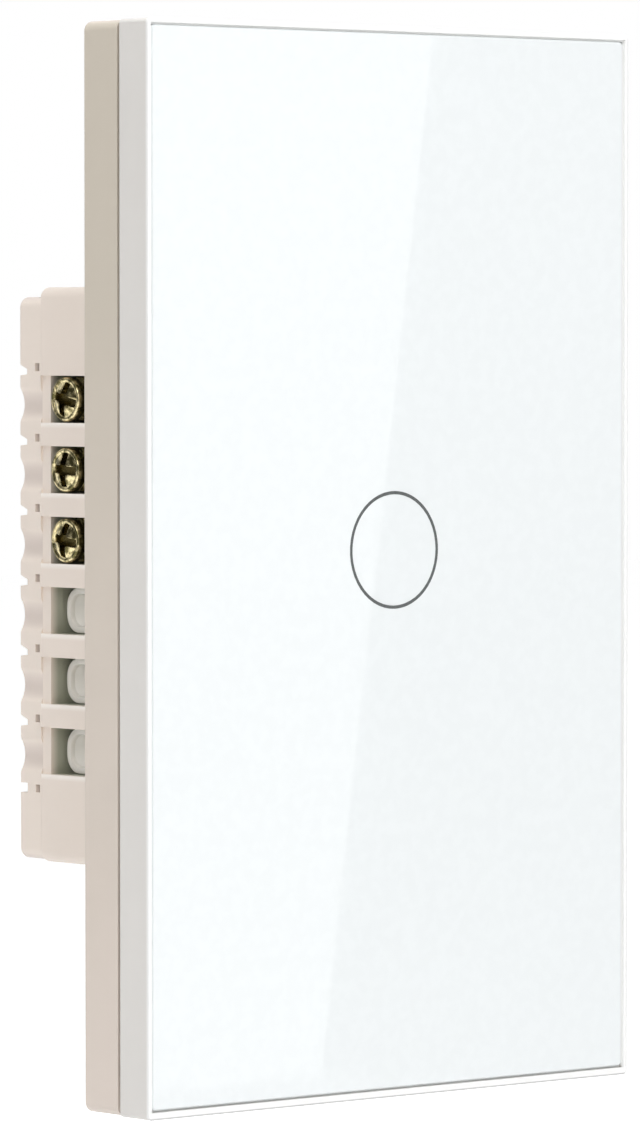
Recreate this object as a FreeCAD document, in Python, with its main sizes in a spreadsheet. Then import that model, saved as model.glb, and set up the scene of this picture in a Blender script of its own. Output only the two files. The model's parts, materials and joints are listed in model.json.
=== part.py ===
import FreeCAD, Part
import math
import os
import re
import Sketcher
from FreeCAD import Vector

# Touch light switch with a glass front, for a single wall box.
# X runs to the right, Z up and Y back into the wall. The origin is the middle of the two box screws,
# on the wall plane: the glass panel and the base stand in front of it, the terminal housing behind.
# Every number below is a driving size in millimetres; everything else is worked out from them.

SIZES = {
    # glass panel and the frame that carries it
    "plate_width": 72.0,
    "plate_height": 120.0,
    "plate_corner": 0.5,
    "panel_depth": 4.9,
    "rim_width": 0.5,
    "rim_foot": 0.8,
    "glass_recess": 0.2,
    "glass_gap": 0.2,
    "glass_thickness": 2.6,
    "glass_arris": 0.15,
    "tape_thickness": 0.2,
    "tape_inset": 2.0,
    "ledge_thickness": 1.0,
    "frame_wall": 1.6,
    "frame_window_width": 50.0,
    "frame_window_height": 84.0,
    "ring_radius": 6.6,
    "ring_line": 0.35,
    "ring_depth": 0.1,
    "ring_rise": 1.5,
    # lugs that push into the base
    "lug_width": 6.0,
    "lug_thickness": 1.2,
    "lug_length": 4.4,
    "lug_rise": 44.0,
    "lug_gap": 0.3,
    "lug_bump": 0.25,
    "lug_bump_length": 1.6,
    # base
    "shadow_gap": 0.5,
    "base_depth": 5.8,
    "base_inset": 0.05,
    "base_corner": 1.1,
    "base_edge_round": 0.35,
    "base_floor": 1.6,
    "skirt_gap": 0.3,
    "lip_width": 1.2,
    "window_width": 26.0,
    "window_low": 14.0,
    "window_high": 17.0,
    "rib_thickness": 1.2,
    "rib_height": 2.6,
    "rib_rise": 34.5,
    "rib_side": 9.0,
    "guide_rib_height": 3.2,
    "pry_width": 9.0,
    "pry_depth": 1.2,
    # box screws
    "box_screw_spacing": 83.3,
    "box_slot_length": 7.0,
    "box_slot_width": 4.2,
    "well_length": 11.0,
    "well_width": 8.4,
    "well_wall": 1.2,
    "well_height": 2.6,
    # terminal housing
    "housing_width": 46.0,
    "housing_height": 65.4,
    "housing_drop": 1.7,
    "housing_depth": 24.0,
    "housing_wall": 1.6,
    "housing_corner": 1.2,
    "housing_edge_round": 0.7,
    "column_size": 7.0,
    "rear_screw_inset": 3.7,
    "rear_screw_radius": 1.15,
    "rear_screw_gap": 0.15,
    "rear_screw_bite": 3.6,
    "rear_head_radius": 2.2,
    "rear_head_depth": 1.4,
    "boss_wall": 1.8,
    "boss_cap": 0.8,
    # terminal bays
    "bay_count": 6,
    "live_count": 3,
    "bay_spacing": 8.0,
    "bay_height": 5.35,
    "bay_length": 6.8,
    "bay_rear_wall": 1.5,
    "block_width": 11.4,
    "block_wall": 1.8,
    "guide_recess": 0.6,
    "wire_hole": 4.5,
    "funnel": 0.5,
    "cup_radius": 2.6,
    "cup_wall": 0.5,
    "cup_depth": 0.9,
    "cup_set_back": 2.6,
    # rear cover
    "cover_depth": 4.1,
    "cover_side_inset": 0.35,
    "cover_wall": 1.5,
    "cover_top_inset": 1.1,
    "cover_foot_inset": 0.2,
    "cover_edge_round": 0.6,
    "tongue_depth": 1.4,
    "tongue_wall": 1.0,
    "tongue_gap": 0.15,
    "counterbore_depth": 1.8,
    "counterbore_gap": 0.3,
    "scallop_depth": 0.62,
    "scallop_width": 3.65,
    "scallop_drop": 0.65,
    "crest_round": 0.9,
    "notch_width": 1.1,
    "notch_depth": 1.6,
    "lip_notch_drop": 0.5,
    "lip_notch_floor": 0.6,
    "lip_notch_slope": 0.65,
    "notch_reach": 2.0,
    "notch_drop": 0.4,
    "latch_slot_width": 0.9,
    "latch_slot_length": 0.8,
    "latch_slot_reach": 1.2,
    "latch_slot_set_back": 0.25,
    # screw terminals
    "cage_depth": 5.5,
    "cage_length": 5.8,
    "cage_height": 5.0,
    "cage_wall": 0.7,
    "cage_back_gap": 0.6,
    "tail_width": 2.6,
    "tail_gap": 0.15,
    "tail_stand": 0.8,
    "shank_radius": 1.45,
    "thread_gap": 0.05,
    "head_radius": 2.33,
    "head_rim": 0.95,
    "head_dome": 0.65,
    "head_gap": 0.1,
    "clamp_travel": 2.0,
    "slot_width": 0.95,
    "slot_depth": 1.1,
    "recess_radius": 0.8,
    "recess_depth": 1.5,
    "clamp_thickness": 0.7,
    "clamp_gap": 0.15,
    "clamp_closed_gap": 0.06,
    "clamp_end_gap": 0.4,
    "clamp_rib": 0.25,
    "neck_radius": 0.8,
    "neck_gap": 0.06,
    "neck_end_gap": 0.04,
    "rivet_radius": 1.15,
    "rivet_thickness": 0.3,
    # touch board and what stands on it
    "touch_board_width": 37.0,
    "touch_board_height": 44.0,
    "touch_board_thickness": 1.2,
    "post_height": 1.8,
    "post_radius": 2.2,
    "post_inset": 3.0,
    "board_screw_radius": 0.8,
    "board_screw_gap": 0.2,
    "board_screw_head": 1.7,
    "board_screw_head_depth": 1.0,
    "board_screw_slot": 0.5,
    "board_screw_bite": 2.6,
    "spring_radius": 4.6,
    "spring_wire": 0.25,
    "spring_turns": 2.5,
    "spring_gap": 0.05,
    "spring_sides": 8,
    "guide_radius": 1.7,
    "guide_wall": 0.5,
    "led_length": 1.2,
    "led_width": 0.8,
    "led_height": 0.7,
    "led_spacing": 1.2,
    "chip_length": 5.0,
    "chip_width": 4.0,
    "chip_height": 1.3,
    "chip_rise": 14.0,
    "radio_width": 16.0,
    "radio_height": 13.0,
    "radio_thickness": 0.8,
    "radio_rise": 9.0,
    "shield_width": 12.0,
    "shield_height": 8.6,
    "shield_depth": 2.0,
    "shield_wall": 0.25,
    "pin_rows": 2,
    "pin_columns": 5,
    "pin_spacing": 2.0,
    "pin_width": 0.5,
    "pin_stand": 0.7,
    "pin_gap": 0.1,
    "header_drop": 8.0,
    "header_margin": 1.1,
    "plug_depth": 2.4,
    "socket_depth": 8.0,
    # power board and what stands on it
    "power_board_thickness": 1.6,
    "power_board_gap": 0.2,
    "power_board_seat": 14.0,
    "board_ledge": 1.6,
    "board_ledge_length": 16.0,
    "relay_width": 15.0,
    "relay_height": 19.0,
    "relay_depth": 11.0,
    "relay_wall": 0.8,
    "relay_shift": 1.6,
    "relay_drop": 0.8,
    "relay_base_depth": 1.6,
    "relay_across": 11.0,
    "relay_up": 10.5,
    "relay_pin_width": 1.0,
    "relay_pin_thickness": 0.5,
    "relay_pin_gap": 0.1,
    "coil_radius": 3.2,
    "coil_length": 9.0,
    "flange_radius": 4.0,
    "flange_thickness": 0.7,
    "core_radius": 1.5,
    "core_stand": 0.5,
    "yoke_thickness": 1.2,
    "yoke_width": 7.0,
    "armature_thickness": 0.8,
    "armature_gap": 0.9,
    "pivot_gap": 0.15,
    "heel_radius": 0.3,
    "heel_clearance": 0.05,
    "blade_thickness": 0.3,
    "blade_length": 9.0,
    "blade_width": 3.0,
    "contact_radius": 0.9,
    "contact_height": 0.4,
    "contact_gap": 0.75,
    "filter_width": 6.0,
    "filter_height": 17.0,
    "filter_depth": 10.5,
    "filter_across": -5.6,
    "filter_up": 15.5,
    "filter_arris": 0.4,
    "bulk_radius": 4.0,
    "bulk_length": 10.6,
    "bulk_across": 1.0,
    "bulk_up": -13.2,
    "bulk_groove": 0.3,
    "varistor_radius": 3.6,
    "varistor_thickness": 3.0,
    "varistor_stand": 1.6,
    "varistor_across": -7.6,
    "varistor_up": -0.5,
    "fuse_radius": 1.8,
    "fuse_length": 9.0,
    "fuse_across": -8.2,
    "fuse_up": -12.5,
    "transformer_across": 12.2,
    "transformer_up": -13.0,
    "transformer_width": 13.0,
    "transformer_height": 12.0,
    "transformer_depth": 10.0,
    "transformer_leg": 3.0,
    "winding_radius": 4.2,
    "winding_flange": 0.8,
    "bridge_length": 5.0,
    "bridge_width": 4.0,
    "bridge_height": 2.0,
    "bridge_across": -6.5,
    "bridge_up": -22.0,
    "choke_radius": 3.4,
    "choke_length": 7.0,
    "choke_flange": 1.0,
    "choke_across": 2.0,
    "choke_up": -21.1,
}

# Places that several pieces share, as formulas of the sizes above.
PLACES = {
    "panel_front": "-(base_depth + shadow_gap + panel_depth)",
    "panel_back": "-(base_depth + shadow_gap)",
    "glass_front": "panel_front + glass_recess",
    "glass_back": "glass_front + glass_thickness",
    "ledge_front": "glass_back + tape_thickness",
    "ledge_back": "ledge_front + ledge_thickness",
    "half_width": "plate_width / 2",
    "half_height": "plate_height / 2",
    "glass_side": "half_width - rim_width - glass_gap",
    "glass_high": "half_height - rim_width - glass_gap",
    "glass_low": "half_height - rim_foot - glass_gap",
    "lip_side": "half_width - frame_wall - skirt_gap",
    "lip_high": "half_height - frame_wall - skirt_gap",
    "tray_side": "lip_side - lip_width",
    "tray_high": "lip_high - lip_width",
    "base_side": "half_width - base_inset",
    "base_high": "half_height - base_inset",
    "lug_outer": "tray_side - lug_gap",
    "lug_inner": "lug_outer - lug_thickness",
    "lug_tip": "ledge_back + lug_length",
    "floor_front": "-base_floor",
    "touch_board_back": "floor_front - post_height",
    "touch_board_front": "touch_board_back - touch_board_thickness",
    "touch_board_low": "ring_rise - touch_board_height / 2",
    "touch_board_high": "ring_rise + touch_board_height / 2",
    "box_screw_rise": "box_screw_spacing / 2",
    "housing_side": "housing_width / 2",
    "housing_high": "housing_height / 2 - housing_drop",
    "housing_low": "-housing_height / 2 - housing_drop",
    "rear_screw_side": "housing_side - rear_screw_inset",
    "rear_screw_high": "housing_high - rear_screw_inset",
    "rear_screw_low": "housing_low + rear_screw_inset",
    "rear_screw_tip": "-rear_screw_bite",
    "boss_front": "rear_screw_tip - 0.4 - boss_cap",
    "block_inner": "block_width - housing_side",
    "bay_floor": "block_inner - block_wall",
    "bay_rear": "housing_depth - bay_rear_wall",
    "bay_front": "bay_rear - bay_length",
    "first_bay": "-housing_drop - bay_spacing * (bay_count - 1) / 2",
    "first_live": "first_bay + bay_spacing * (bay_count - live_count)",
    "cage_right": "bay_floor - cage_back_gap",
    "cage_left": "cage_right - cage_depth",
    "terminal_axis": "bay_rear - head_gap - cage_length / 2",
    "wire_left": "cage_left + cage_wall - 0.2",
    "wire_right": "wire_left + wire_hole",
    "cup_end": "cup_set_back - housing_side",
    "cover_side": "housing_side - cover_side_inset",
    "cover_back": "housing_depth + cover_depth",
    "cover_high": "housing_high - cover_top_inset",
    "cover_low": "housing_low + cover_foot_inset",
    "rear_head_seat": "cover_back - counterbore_depth",
    "scallop_radius": "(pow(scallop_width / 2; 2) + pow(scallop_depth; 2)) / (2 * scallop_depth)",
    "first_notch": "first_bay - bay_spacing / 2 - notch_drop",
    "under_head": "cage_left - head_gap - clamp_travel",
    "rim_front": "under_head - head_rim",
    "dome_top": "rim_front - head_dome",
    "clamp_right": "cage_right - cage_wall - clamp_closed_gap - rivet_thickness - neck_end_gap - clamp_travel",
    "clamp_left": "clamp_right - clamp_thickness",
    "power_board_front": "power_board_seat - power_board_thickness",
    "power_board_side": "housing_side - housing_wall - power_board_gap",
    "power_board_high": "housing_high - housing_wall - power_board_gap",
    "power_board_low": "housing_low + housing_wall + power_board_gap",
    "tail_tip": "power_board_front - tail_stand",
    "header_middle": "ring_rise - header_drop",
    "header_half_width": "pin_spacing * (pin_columns - 1) / 2 + header_margin",
    "header_half_height": "pin_spacing * (pin_rows - 1) / 2 + header_margin",
    "spring_length": "touch_board_front - glass_back - spring_gap",
    "yoke_left": "flange_radius + 0.5",
    "pole_face": "coil_length / 2 + flange_thickness + core_stand",
    "armature_low": "pole_face + armature_gap",
    "armature_high": "armature_low + armature_thickness",
    "pivot_across": "yoke_left + yoke_thickness / 2",
    "coil_depth": "relay_base_depth + 0.4 + flange_radius",
}

FRONT = "XZ_Plane"
SIDE = "YZ_Plane"
TOP = "XY_Plane"

doc = FreeCAD.newDocument("TouchSwitch")
sheet = doc.addObject("Spreadsheet::Sheet", "Sizes")
for row, (word, number) in enumerate(SIZES.items(), 1):
    sheet.set("A%d" % row, word)
    sheet.set("B%d" % row, str(number))
    sheet.setAlias("B%d" % row, word)
doc.recompute()
pieces = []


def formula(text):
    """The text with each size and place written out in cells of the sheet."""
    def spell(match):
        word = match.group(0)
        if word in PLACES:
            return "(" + formula(PLACES[word]) + ")"
        if word in SIZES:
            return "Sizes." + word
        return word
    return re.sub(r"[a-z][a-z_]*", spell, text)


def value(text):
    return float(sheet.evalExpression(formula(text)))


def new_body(label):
    made = doc.addObject("PartDesign::Body", label)
    made.Label = label
    pieces.append(made)
    return made


def place(body, across="0", back="0", up="0"):
    """Put a body that is drawn about its own middle where it belongs."""
    for letter, text in (("x", across), ("y", back), ("z", up)):
        body.setExpression("Placement.Base." + letter, formula(text))


def origin_feature(body, role):
    return [f for f in body.Origin.OriginFeatures if f.Role == role][0]


def new_sketch(body, plane, where):
    made = body.newObject("Sketcher::SketchObject", body.Label + "_sketch")
    made.AttachmentSupport = [(origin_feature(body, plane), "")]
    made.MapMode = "FlatFace"
    sign = "-" if plane == FRONT else ""
    made.setExpression("AttachmentOffset.Base.z", formula("%s(%s)" % (sign, where)))
    return made


def lock(sketch, kind, *places):
    """Add a dimension whose value is the formula given last."""
    text = places[-1]
    index = sketch.addConstraint(Sketcher.Constraint(kind, *places[:-1], value(text)))
    sketch.setExpression("Constraints[%d]" % index, formula(text))


def box(left, right, low, high, corner=None):
    """A rectangle, with round corners where a corner radius is given."""
    def draw(sketch):
        x0, x1, y0, y1 = (value(t) for t in (left, right, low, high))
        r = value(corner) if corner else 0.0
        first = sketch.GeometryCount
        corners = [(x1 - r, y0 + r, -90), (x1 - r, y1 - r, 0), (x0 + r, y1 - r, 90), (x0 + r, y0 + r, 180)]
        ends = [(x0 + r, y0), (x1 - r, y0), (x1, y0 + r), (x1, y1 - r),
                (x1 - r, y1), (x0 + r, y1), (x0, y1 - r), (x0, y0 + r)]
        drawn = []
        for k in range(4):
            drawn.append(Part.LineSegment(Vector(*ends[2 * k]), Vector(*ends[2 * k + 1])))
            if corner:
                cx, cy, start = corners[k]
                circle = Part.Circle(Vector(cx, cy, 0), Vector(0, 0, 1), r)
                drawn.append(Part.ArcOfCircle(circle, math.radians(start), math.radians(start + 90)))
        sketch.addGeometry(drawn, False)
        count = len(drawn)
        join = "Tangent" if corner else "Coincident"
        for k in range(count):
            following = first + (k + 1) % count
            sketch.addConstraint(Sketcher.Constraint(join, first + k, 2, following, 1))
        bottom, right_side, top, left_side = (first + k * count // 4 for k in range(4))
        for line, kind in ((bottom, "Horizontal"), (right_side, "Vertical"),
                           (top, "Horizontal"), (left_side, "Vertical")):
            sketch.addConstraint(Sketcher.Constraint(kind, line))
        if corner:
            for k in (1, 3, 5):
                sketch.addConstraint(Sketcher.Constraint("Equal", first + k, first + k + 2))
            lock(sketch, "Radius", first + 1, corner)
        lock(sketch, "DistanceX", -1, 1, left_side, 1, left)
        lock(sketch, "DistanceX", -1, 1, right_side, 1, right)
        lock(sketch, "DistanceY", -1, 1, bottom, 1, low)
        lock(sketch, "DistanceY", -1, 1, top, 1, high)
    return draw


def disc(across, up, radius):
    def draw(sketch):
        centre = Vector(value(across), value(up), 0)
        circle = sketch.addGeometry(Part.Circle(centre, Vector(0, 0, 1), value(radius)), False)
        lock(sketch, "Radius", circle, radius)
        lock(sketch, "DistanceX", -1, 1, circle, 3, across)
        lock(sketch, "DistanceY", -1, 1, circle, 3, up)
    return draw


def oblong(across, up, length, width):
    """An upright slot with round ends."""
    def draw(sketch):
        radius, reach = "(%s) / 2" % width, "((%s) - (%s)) / 2" % (length, width)
        x, y, r, half = value(across), value(up), value(radius), value(reach)
        upper = Part.Circle(Vector(x, y + half, 0), Vector(0, 0, 1), r)
        lower = Part.Circle(Vector(x, y - half, 0), Vector(0, 0, 1), r)
        first = sketch.GeometryCount
        sketch.addGeometry([
            Part.ArcOfCircle(upper, 0, math.pi),
            Part.LineSegment(Vector(x - r, y + half, 0), Vector(x - r, y - half, 0)),
            Part.ArcOfCircle(lower, math.pi, 2 * math.pi),
            Part.LineSegment(Vector(x + r, y - half, 0), Vector(x + r, y + half, 0))], False)
        for k in range(4):
            sketch.addConstraint(Sketcher.Constraint("Tangent", first + k, 2, first + (k + 1) % 4, 1))
        sketch.addConstraint(Sketcher.Constraint("Equal", first, first + 2))
        lock(sketch, "Radius", first, radius)
        for arc, sign in ((first, "+"), (first + 2, "-")):
            lock(sketch, "DistanceX", -1, 1, arc, 3, across)
            lock(sketch, "DistanceY", -1, 1, arc, 3, "%s %s %s" % (up, sign, reach))
    return draw


def outline(points):
    """A closed outline; a point marked dome is reached by an arc centred on the first axis."""
    def draw(sketch):
        spots = [(value(p[0]), value(p[1])) for p in points]
        first = sketch.GeometryCount
        count = len(points)
        drawn = []
        for k in range(count):
            (x0, y0), (x1, y1) = spots[k], spots[(k + 1) % count]
            if len(points[(k + 1) % count]) > 2:
                centre = (x1 * x1 + y1 * y1 - x0 * x0 - y0 * y0) / (2 * (x1 - x0))
                circle = Part.Circle(Vector(centre, 0, 0), Vector(0, 0, 1), math.hypot(x0 - centre, y0))
                angles = [math.atan2(y, x - centre) for x, y in ((x0, y0), (x1, y1))]
                drawn.append(Part.ArcOfCircle(circle, min(angles), max(angles)))
            else:
                drawn.append(Part.LineSegment(Vector(x0, y0, 0), Vector(x1, y1, 0)))
        sketch.addGeometry(drawn, False)
        for k in range(count):
            ends = []
            for index, wanted in ((k, 2), ((k + 1) % count, 1)):
                is_arc = len(points[(index + 1) % count]) > 2
                backwards = is_arc and arc_runs_backwards(drawn[index], spots[index])
                ends += [first + index, 3 - wanted if backwards else wanted]
            sketch.addConstraint(Sketcher.Constraint("Coincident", *ends))
            if len(points[(k + 1) % count]) > 2:
                sketch.addConstraint(Sketcher.Constraint("PointOnObject", first + k, 3, -1))
        for k in range(count):
            line = k if len(points[(k + 1) % count]) == 2 else (k - 1) % count
            end = 1 if line == k else 2
            lock(sketch, "DistanceX", -1, 1, first + line, end, points[k][0])
            lock(sketch, "DistanceY", -1, 1, first + line, end, points[k][1])
    return draw


def arc_runs_backwards(arc, start):
    return arc.StartPoint.distanceToPoint(Vector(start[0], start[1], 0)) > 1e-6


def extrude(kind, body, plane, low, high, shapes):
    adds = kind == "PartDesign::Pad"
    starts_high = adds if plane == FRONT else not adds
    sketch = new_sketch(body, plane, high if starts_high else low)
    for shape in shapes:
        shape(sketch)
    made = body.newObject(kind, body.Label + ("_pad" if adds else "_cut"))
    made.Profile = sketch
    made.setExpression("Length", formula("(%s) - (%s)" % (high, low)))
    body.Tip = made
    return made


def pad(body, plane, low, high, *shapes):
    """Material from low to high along the plane's own axis of the part."""
    return extrude("PartDesign::Pad", body, plane, low, high, shapes)


def cut(body, plane, low, high, *shapes):
    return extrude("PartDesign::Pocket", body, plane, low, high, shapes)


def revolve(body, plane, axis, *shapes):
    sketch = new_sketch(body, plane, "0")
    for shape in shapes:
        shape(sketch)
    made = body.newObject("PartDesign::Revolution", body.Label + "_turned")
    made.Profile = sketch
    made.ReferenceAxis = (origin_feature(body, axis), [""])
    made.Angle = 360
    body.Tip = made
    return made


def repeat(body, features, pitch, count):
    """Copies of the features upwards, a pitch apart."""
    made = body.newObject("PartDesign::LinearPattern", body.Label + "_row")
    made.Originals = features
    made.Direction = (features[0].Profile[0], ["V_Axis"])
    made.Mode = "Spacing"
    made.setExpression("Offset", formula(pitch))
    made.setExpression("Occurrences", formula(count))
    body.Tip = made
    return made


def dress(kind, body, chosen, amount):
    """Fillet or chamfer the edges of the body that the test picks."""
    doc.recompute()
    base = body.Tip
    names = ["Edge%d" % k for k, edge in enumerate(base.Shape.Edges, 1) if chosen(edge)]
    made = body.newObject("PartDesign::" + kind, body.Label + "_" + kind.lower())
    made.Base = (base, names)
    made.setExpression("Radius" if kind == "Fillet" else "Size", formula(amount))
    body.Tip = made
    return made


def lies_on(letter, text):
    """A test for edges that lie in the plane where the letter's coordinate has this value."""
    level = value(text)
    def test(edge):
        return all(abs(getattr(v.Point, letter) - level) < 1e-4 for v in edge.Vertexes)
    return test


def both(*tests):
    return lambda edge: all(test(edge) for test in tests)


def between(letter, low, high):
    bottom, top = value(low) - 1e-4, value(high) + 1e-4
    return lambda edge: all(bottom <= getattr(v.Point, letter) <= top for v in edge.Vertexes)


def runs_back(edge):
    """A test for straight edges along Y."""
    ends = [v.Point for v in edge.Vertexes]
    return len(ends) == 2 and abs(abs(ends[1].y - ends[0].y) - edge.Length) < 1e-6


def centred_box(width, height, corner=None, across="0", up="0"):
    return box("%s - (%s) / 2" % (across, width), "%s + (%s) / 2" % (across, width),
               "%s - (%s) / 2" % (up, height), "%s + (%s) / 2" % (up, height), corner)


def four(side, low, high):
    return [(x, z) for z in (low, high) for x in ("-(%s)" % side, side)]


# Panel: frame, glass, its printed ring and the tape behind it

def make_panel_frame():
    body = new_body("panel_frame")
    pad(body, FRONT, "panel_front", "panel_back",
        box("-half_width", "half_width", "-half_height", "half_height", "plate_corner"))
    cut(body, FRONT, "panel_front", "ledge_front",
        box("-(glass_side + glass_gap)", "glass_side + glass_gap",
            "-(glass_low + glass_gap)", "glass_high + glass_gap"))
    cut(body, FRONT, "ledge_back", "panel_back",
        box("-(lip_side + skirt_gap)", "lip_side + skirt_gap",
            "-(lip_high + skirt_gap)", "lip_high + skirt_gap", "base_corner"))
    cut(body, FRONT, "ledge_front", "ledge_back",
        centred_box("frame_window_width", "frame_window_height", "base_corner"))
    sides = [("-lug_outer", "-lug_inner"), ("lug_inner", "lug_outer")]
    for middle in ("-lug_rise", "lug_rise"):
        low, high = middle + " - lug_width / 2", middle + " + lug_width / 2"
        pad(body, FRONT, "ledge_back", "lug_tip", *[box(a, b, low, high) for a, b in sides])
        for sign in ("-", ""):
            edge = sign + "(lug_outer)"
            crest = sign + "(lug_outer + lug_bump)"
            pad(body, TOP, low, high,
                outline([(edge, "lug_tip - 0.2 - lug_bump_length"),
                         (crest, "lug_tip - 0.2 - lug_bump_length / 2"),
                         (edge, "lug_tip - 0.2")]))


def make_glass_panel():
    body = new_body("glass_panel")
    pad(body, FRONT, "glass_front", "glass_back",
        box("-glass_side", "glass_side", "-glass_low", "glass_high", "plate_corner"))
    dress("Chamfer", body, lies_on("y", "glass_front"), "glass_arris")
    cut(body, FRONT, "glass_front", "glass_front + ring_depth",
        disc("0", "ring_rise", "ring_radius"), disc("0", "ring_rise", "ring_radius - ring_line"))


def make_touch_ring():
    body = new_body("touch_ring")
    pad(body, FRONT, "glass_front", "glass_front + ring_depth",
        disc("0", "ring_rise", "ring_radius"), disc("0", "ring_rise", "ring_radius - ring_line"))


def make_panel_tape():
    body = new_body("panel_tape")
    pad(body, FRONT, "glass_back", "ledge_front",
        box("-(glass_side - tape_inset)", "glass_side - tape_inset",
            "-(glass_low - tape_inset)", "glass_high - tape_inset"),
        centred_box("frame_window_width + tape_inset", "frame_window_height + tape_inset"))


# Base: the moulded tray behind the panel

def make_base_frame():
    body = new_body("base_frame")
    pad(body, FRONT, "-base_depth", "0",
        box("-base_side", "base_side", "-base_high", "base_high", "base_corner"))
    dress("Fillet", body, lies_on("y", "0"), "base_edge_round")
    pad(body, FRONT, "ledge_back", "-base_depth",
        box("-lip_side", "lip_side", "-lip_high", "lip_high", "base_corner"))
    cut(body, FRONT, "ledge_back", "floor_front",
        box("-tray_side", "tray_side", "-tray_high", "tray_high", "base_corner"))
    stiffen_base(body)
    wells = ["-box_screw_rise", "box_screw_rise"]
    pad(body, FRONT, "floor_front - well_height", "floor_front",
        *[oblong("0", z, "well_length + 2 * well_wall", "well_width + 2 * well_wall") for z in wells])
    cut(body, FRONT, "floor_front - well_height", "floor_front",
        *[oblong("0", z, "well_length", "well_width") for z in wells])
    cut(body, FRONT, "floor_front", "0",
        *[oblong("0", z, "box_slot_length", "box_slot_width") for z in wells])
    rear_screws = four("rear_screw_side", "rear_screw_low", "rear_screw_high")
    pad(body, FRONT, "boss_front", "floor_front",
        *[disc(x, z, "rear_screw_radius + boss_wall") for x, z in rear_screws])
    cut(body, FRONT, "rear_screw_tip - 0.4", "0",
        *[disc(x, z, "rear_screw_radius") for x, z in rear_screws])
    posts = board_screw_places()
    pad(body, FRONT, "touch_board_back", "floor_front", *[disc(x, z, "post_radius") for x, z in posts])
    pad(body, FRONT, "touch_board_back", "floor_front",
        *[centred_box("2 * post_radius", "rib_thickness", across=x, up=z) for x, z in board_rest_places()])
    cut(body, FRONT, "touch_board_back", "touch_board_back + board_screw_bite + 0.3",
        *[disc(x, z, "board_screw_radius") for x, z in posts])
    cut(body, FRONT, "floor_front", "0",
        box("-window_width / 2", "window_width / 2", "-window_low", "window_high", "base_corner"))
    cut(body, FRONT, "-base_depth", "pry_depth - base_depth",
        box("-pry_width / 2", "pry_width / 2", "-half_height", "-(lip_high + 0.2)"))
    cut_lug_seats(body)


def stiffen_base(body):
    """Ribs across the tray, and one beside each lug."""
    rib = "rib_thickness / 2"
    for middle in ("-rib_rise", "rib_rise"):
        pad(body, FRONT, "floor_front - rib_height", "floor_front",
            box("-tray_side", "tray_side", middle + " - " + rib, middle + " + " + rib))
    for low, high in (("rib_rise", "tray_high"), ("-tray_high", "-rib_rise")):
        pad(body, FRONT, "floor_front - rib_height", "floor_front",
            *[box("%s - %s" % (x, rib), "%s + %s" % (x, rib), low, high) for x in ("-rib_side", "rib_side")])
    guides = []
    for sign in ("-", ""):
        faces = [sign + "(lug_inner - lug_gap - rib_thickness)", sign + "(lug_inner - lug_gap)"]
        if sign:
            faces.reverse()
        for middle in ("-lug_rise", "lug_rise"):
            guides.append(box(faces[0], faces[1],
                              middle + " - lug_width * 0.75", middle + " + lug_width * 0.75"))
    pad(body, FRONT, "floor_front - guide_rib_height", "floor_front", *guides)


def cut_lug_seats(body):
    """Shallow seats in the side walls for the bumps of the lugs."""
    low, high = "lug_tip - 0.4 - lug_bump_length", "lug_tip"
    for sign in ("-", ""):
        walls = [sign + "(tray_side)", sign + "(tray_side + lug_bump)"]
        if sign:
            walls.reverse()
        seats = [box(walls[0], walls[1], z + " - lug_width / 2 - lug_gap", z + " + lug_width / 2 + lug_gap")
                 for z in ("-lug_rise", "lug_rise")]
        cut(body, FRONT, low, high, *seats)


def board_screw_places():
    side = "(touch_board_width / 2 - post_inset)"
    return [("-" + side, "touch_board_high - post_inset"), (side, "touch_board_low + post_inset")]


def board_rest_places():
    side = "(touch_board_width / 2 - post_inset)"
    return [(side, "touch_board_high - post_inset"), ("-" + side, "touch_board_low + post_inset")]


# Terminal housing behind the wall plane

def make_terminal_housing():
    body = new_body("terminal_housing")
    pad(body, FRONT, "0", "housing_depth",
        box("-housing_side", "housing_side", "housing_low", "housing_high", "housing_corner"))
    dress("Fillet", body, lies_on("y", "housing_depth"), "housing_edge_round")
    room = ["housing_side - housing_wall", "housing_low + housing_wall", "housing_high - housing_wall"]
    cut(body, FRONT, "0", "power_board_seat", box("-(%s)" % room[0], *room))
    cut(body, FRONT, "power_board_seat", "housing_depth", box("block_inner", *room))
    reach, inner = "housing_side - housing_wall / 2", "housing_side - column_size"
    spans = [("housing_low + housing_wall / 2", "housing_low + column_size"),
             ("housing_high - column_size", "housing_high - housing_wall / 2")]
    for low, high in spans:
        pad(body, FRONT, "0", "housing_depth - 0.5", box("-(%s)" % reach, "-(%s)" % inner, low, high),
            box(inner, reach, low, high))
    cut(body, FRONT, "0", "housing_depth",
        *[disc(x, z, "rear_screw_radius + rear_screw_gap")
          for x, z in four("rear_screw_side", "rear_screw_low", "rear_screw_high")])
    ledge = ["housing_side - housing_wall - board_ledge", "housing_side - housing_wall / 2"]
    pad(body, FRONT, "power_board_seat", "power_board_seat + board_ledge",
        box(*ledge, "-housing_drop - board_ledge_length / 2", "board_ledge_length / 2 - housing_drop"))
    cut_bays(body)
    tails = ["first_live + bay_spacing * %d" % k for k in range(int(SIZES["live_count"]))]
    cut(body, FRONT, "power_board_seat", "bay_front",
        *[box("cage_right - cage_wall - tail_gap", "cage_right + tail_gap",
              z + " - tail_width / 2 - tail_gap", z + " + tail_width / 2 + tail_gap") for z in tails])
    blanks = ["first_bay + bay_spacing * %d" % k for k in range(int(SIZES["bay_count"] - SIZES["live_count"]))]
    pad(body, SIDE, "cup_end + cup_depth", "bay_floor",
        *[disc("terminal_axis", z, "cup_radius") for z in blanks])
    for z in blanks:
        pad(body, SIDE, "cup_end", "cup_end + cup_depth",
            disc("terminal_axis", z, "cup_radius"), disc("terminal_axis", z, "cup_radius - cup_wall"))


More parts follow.
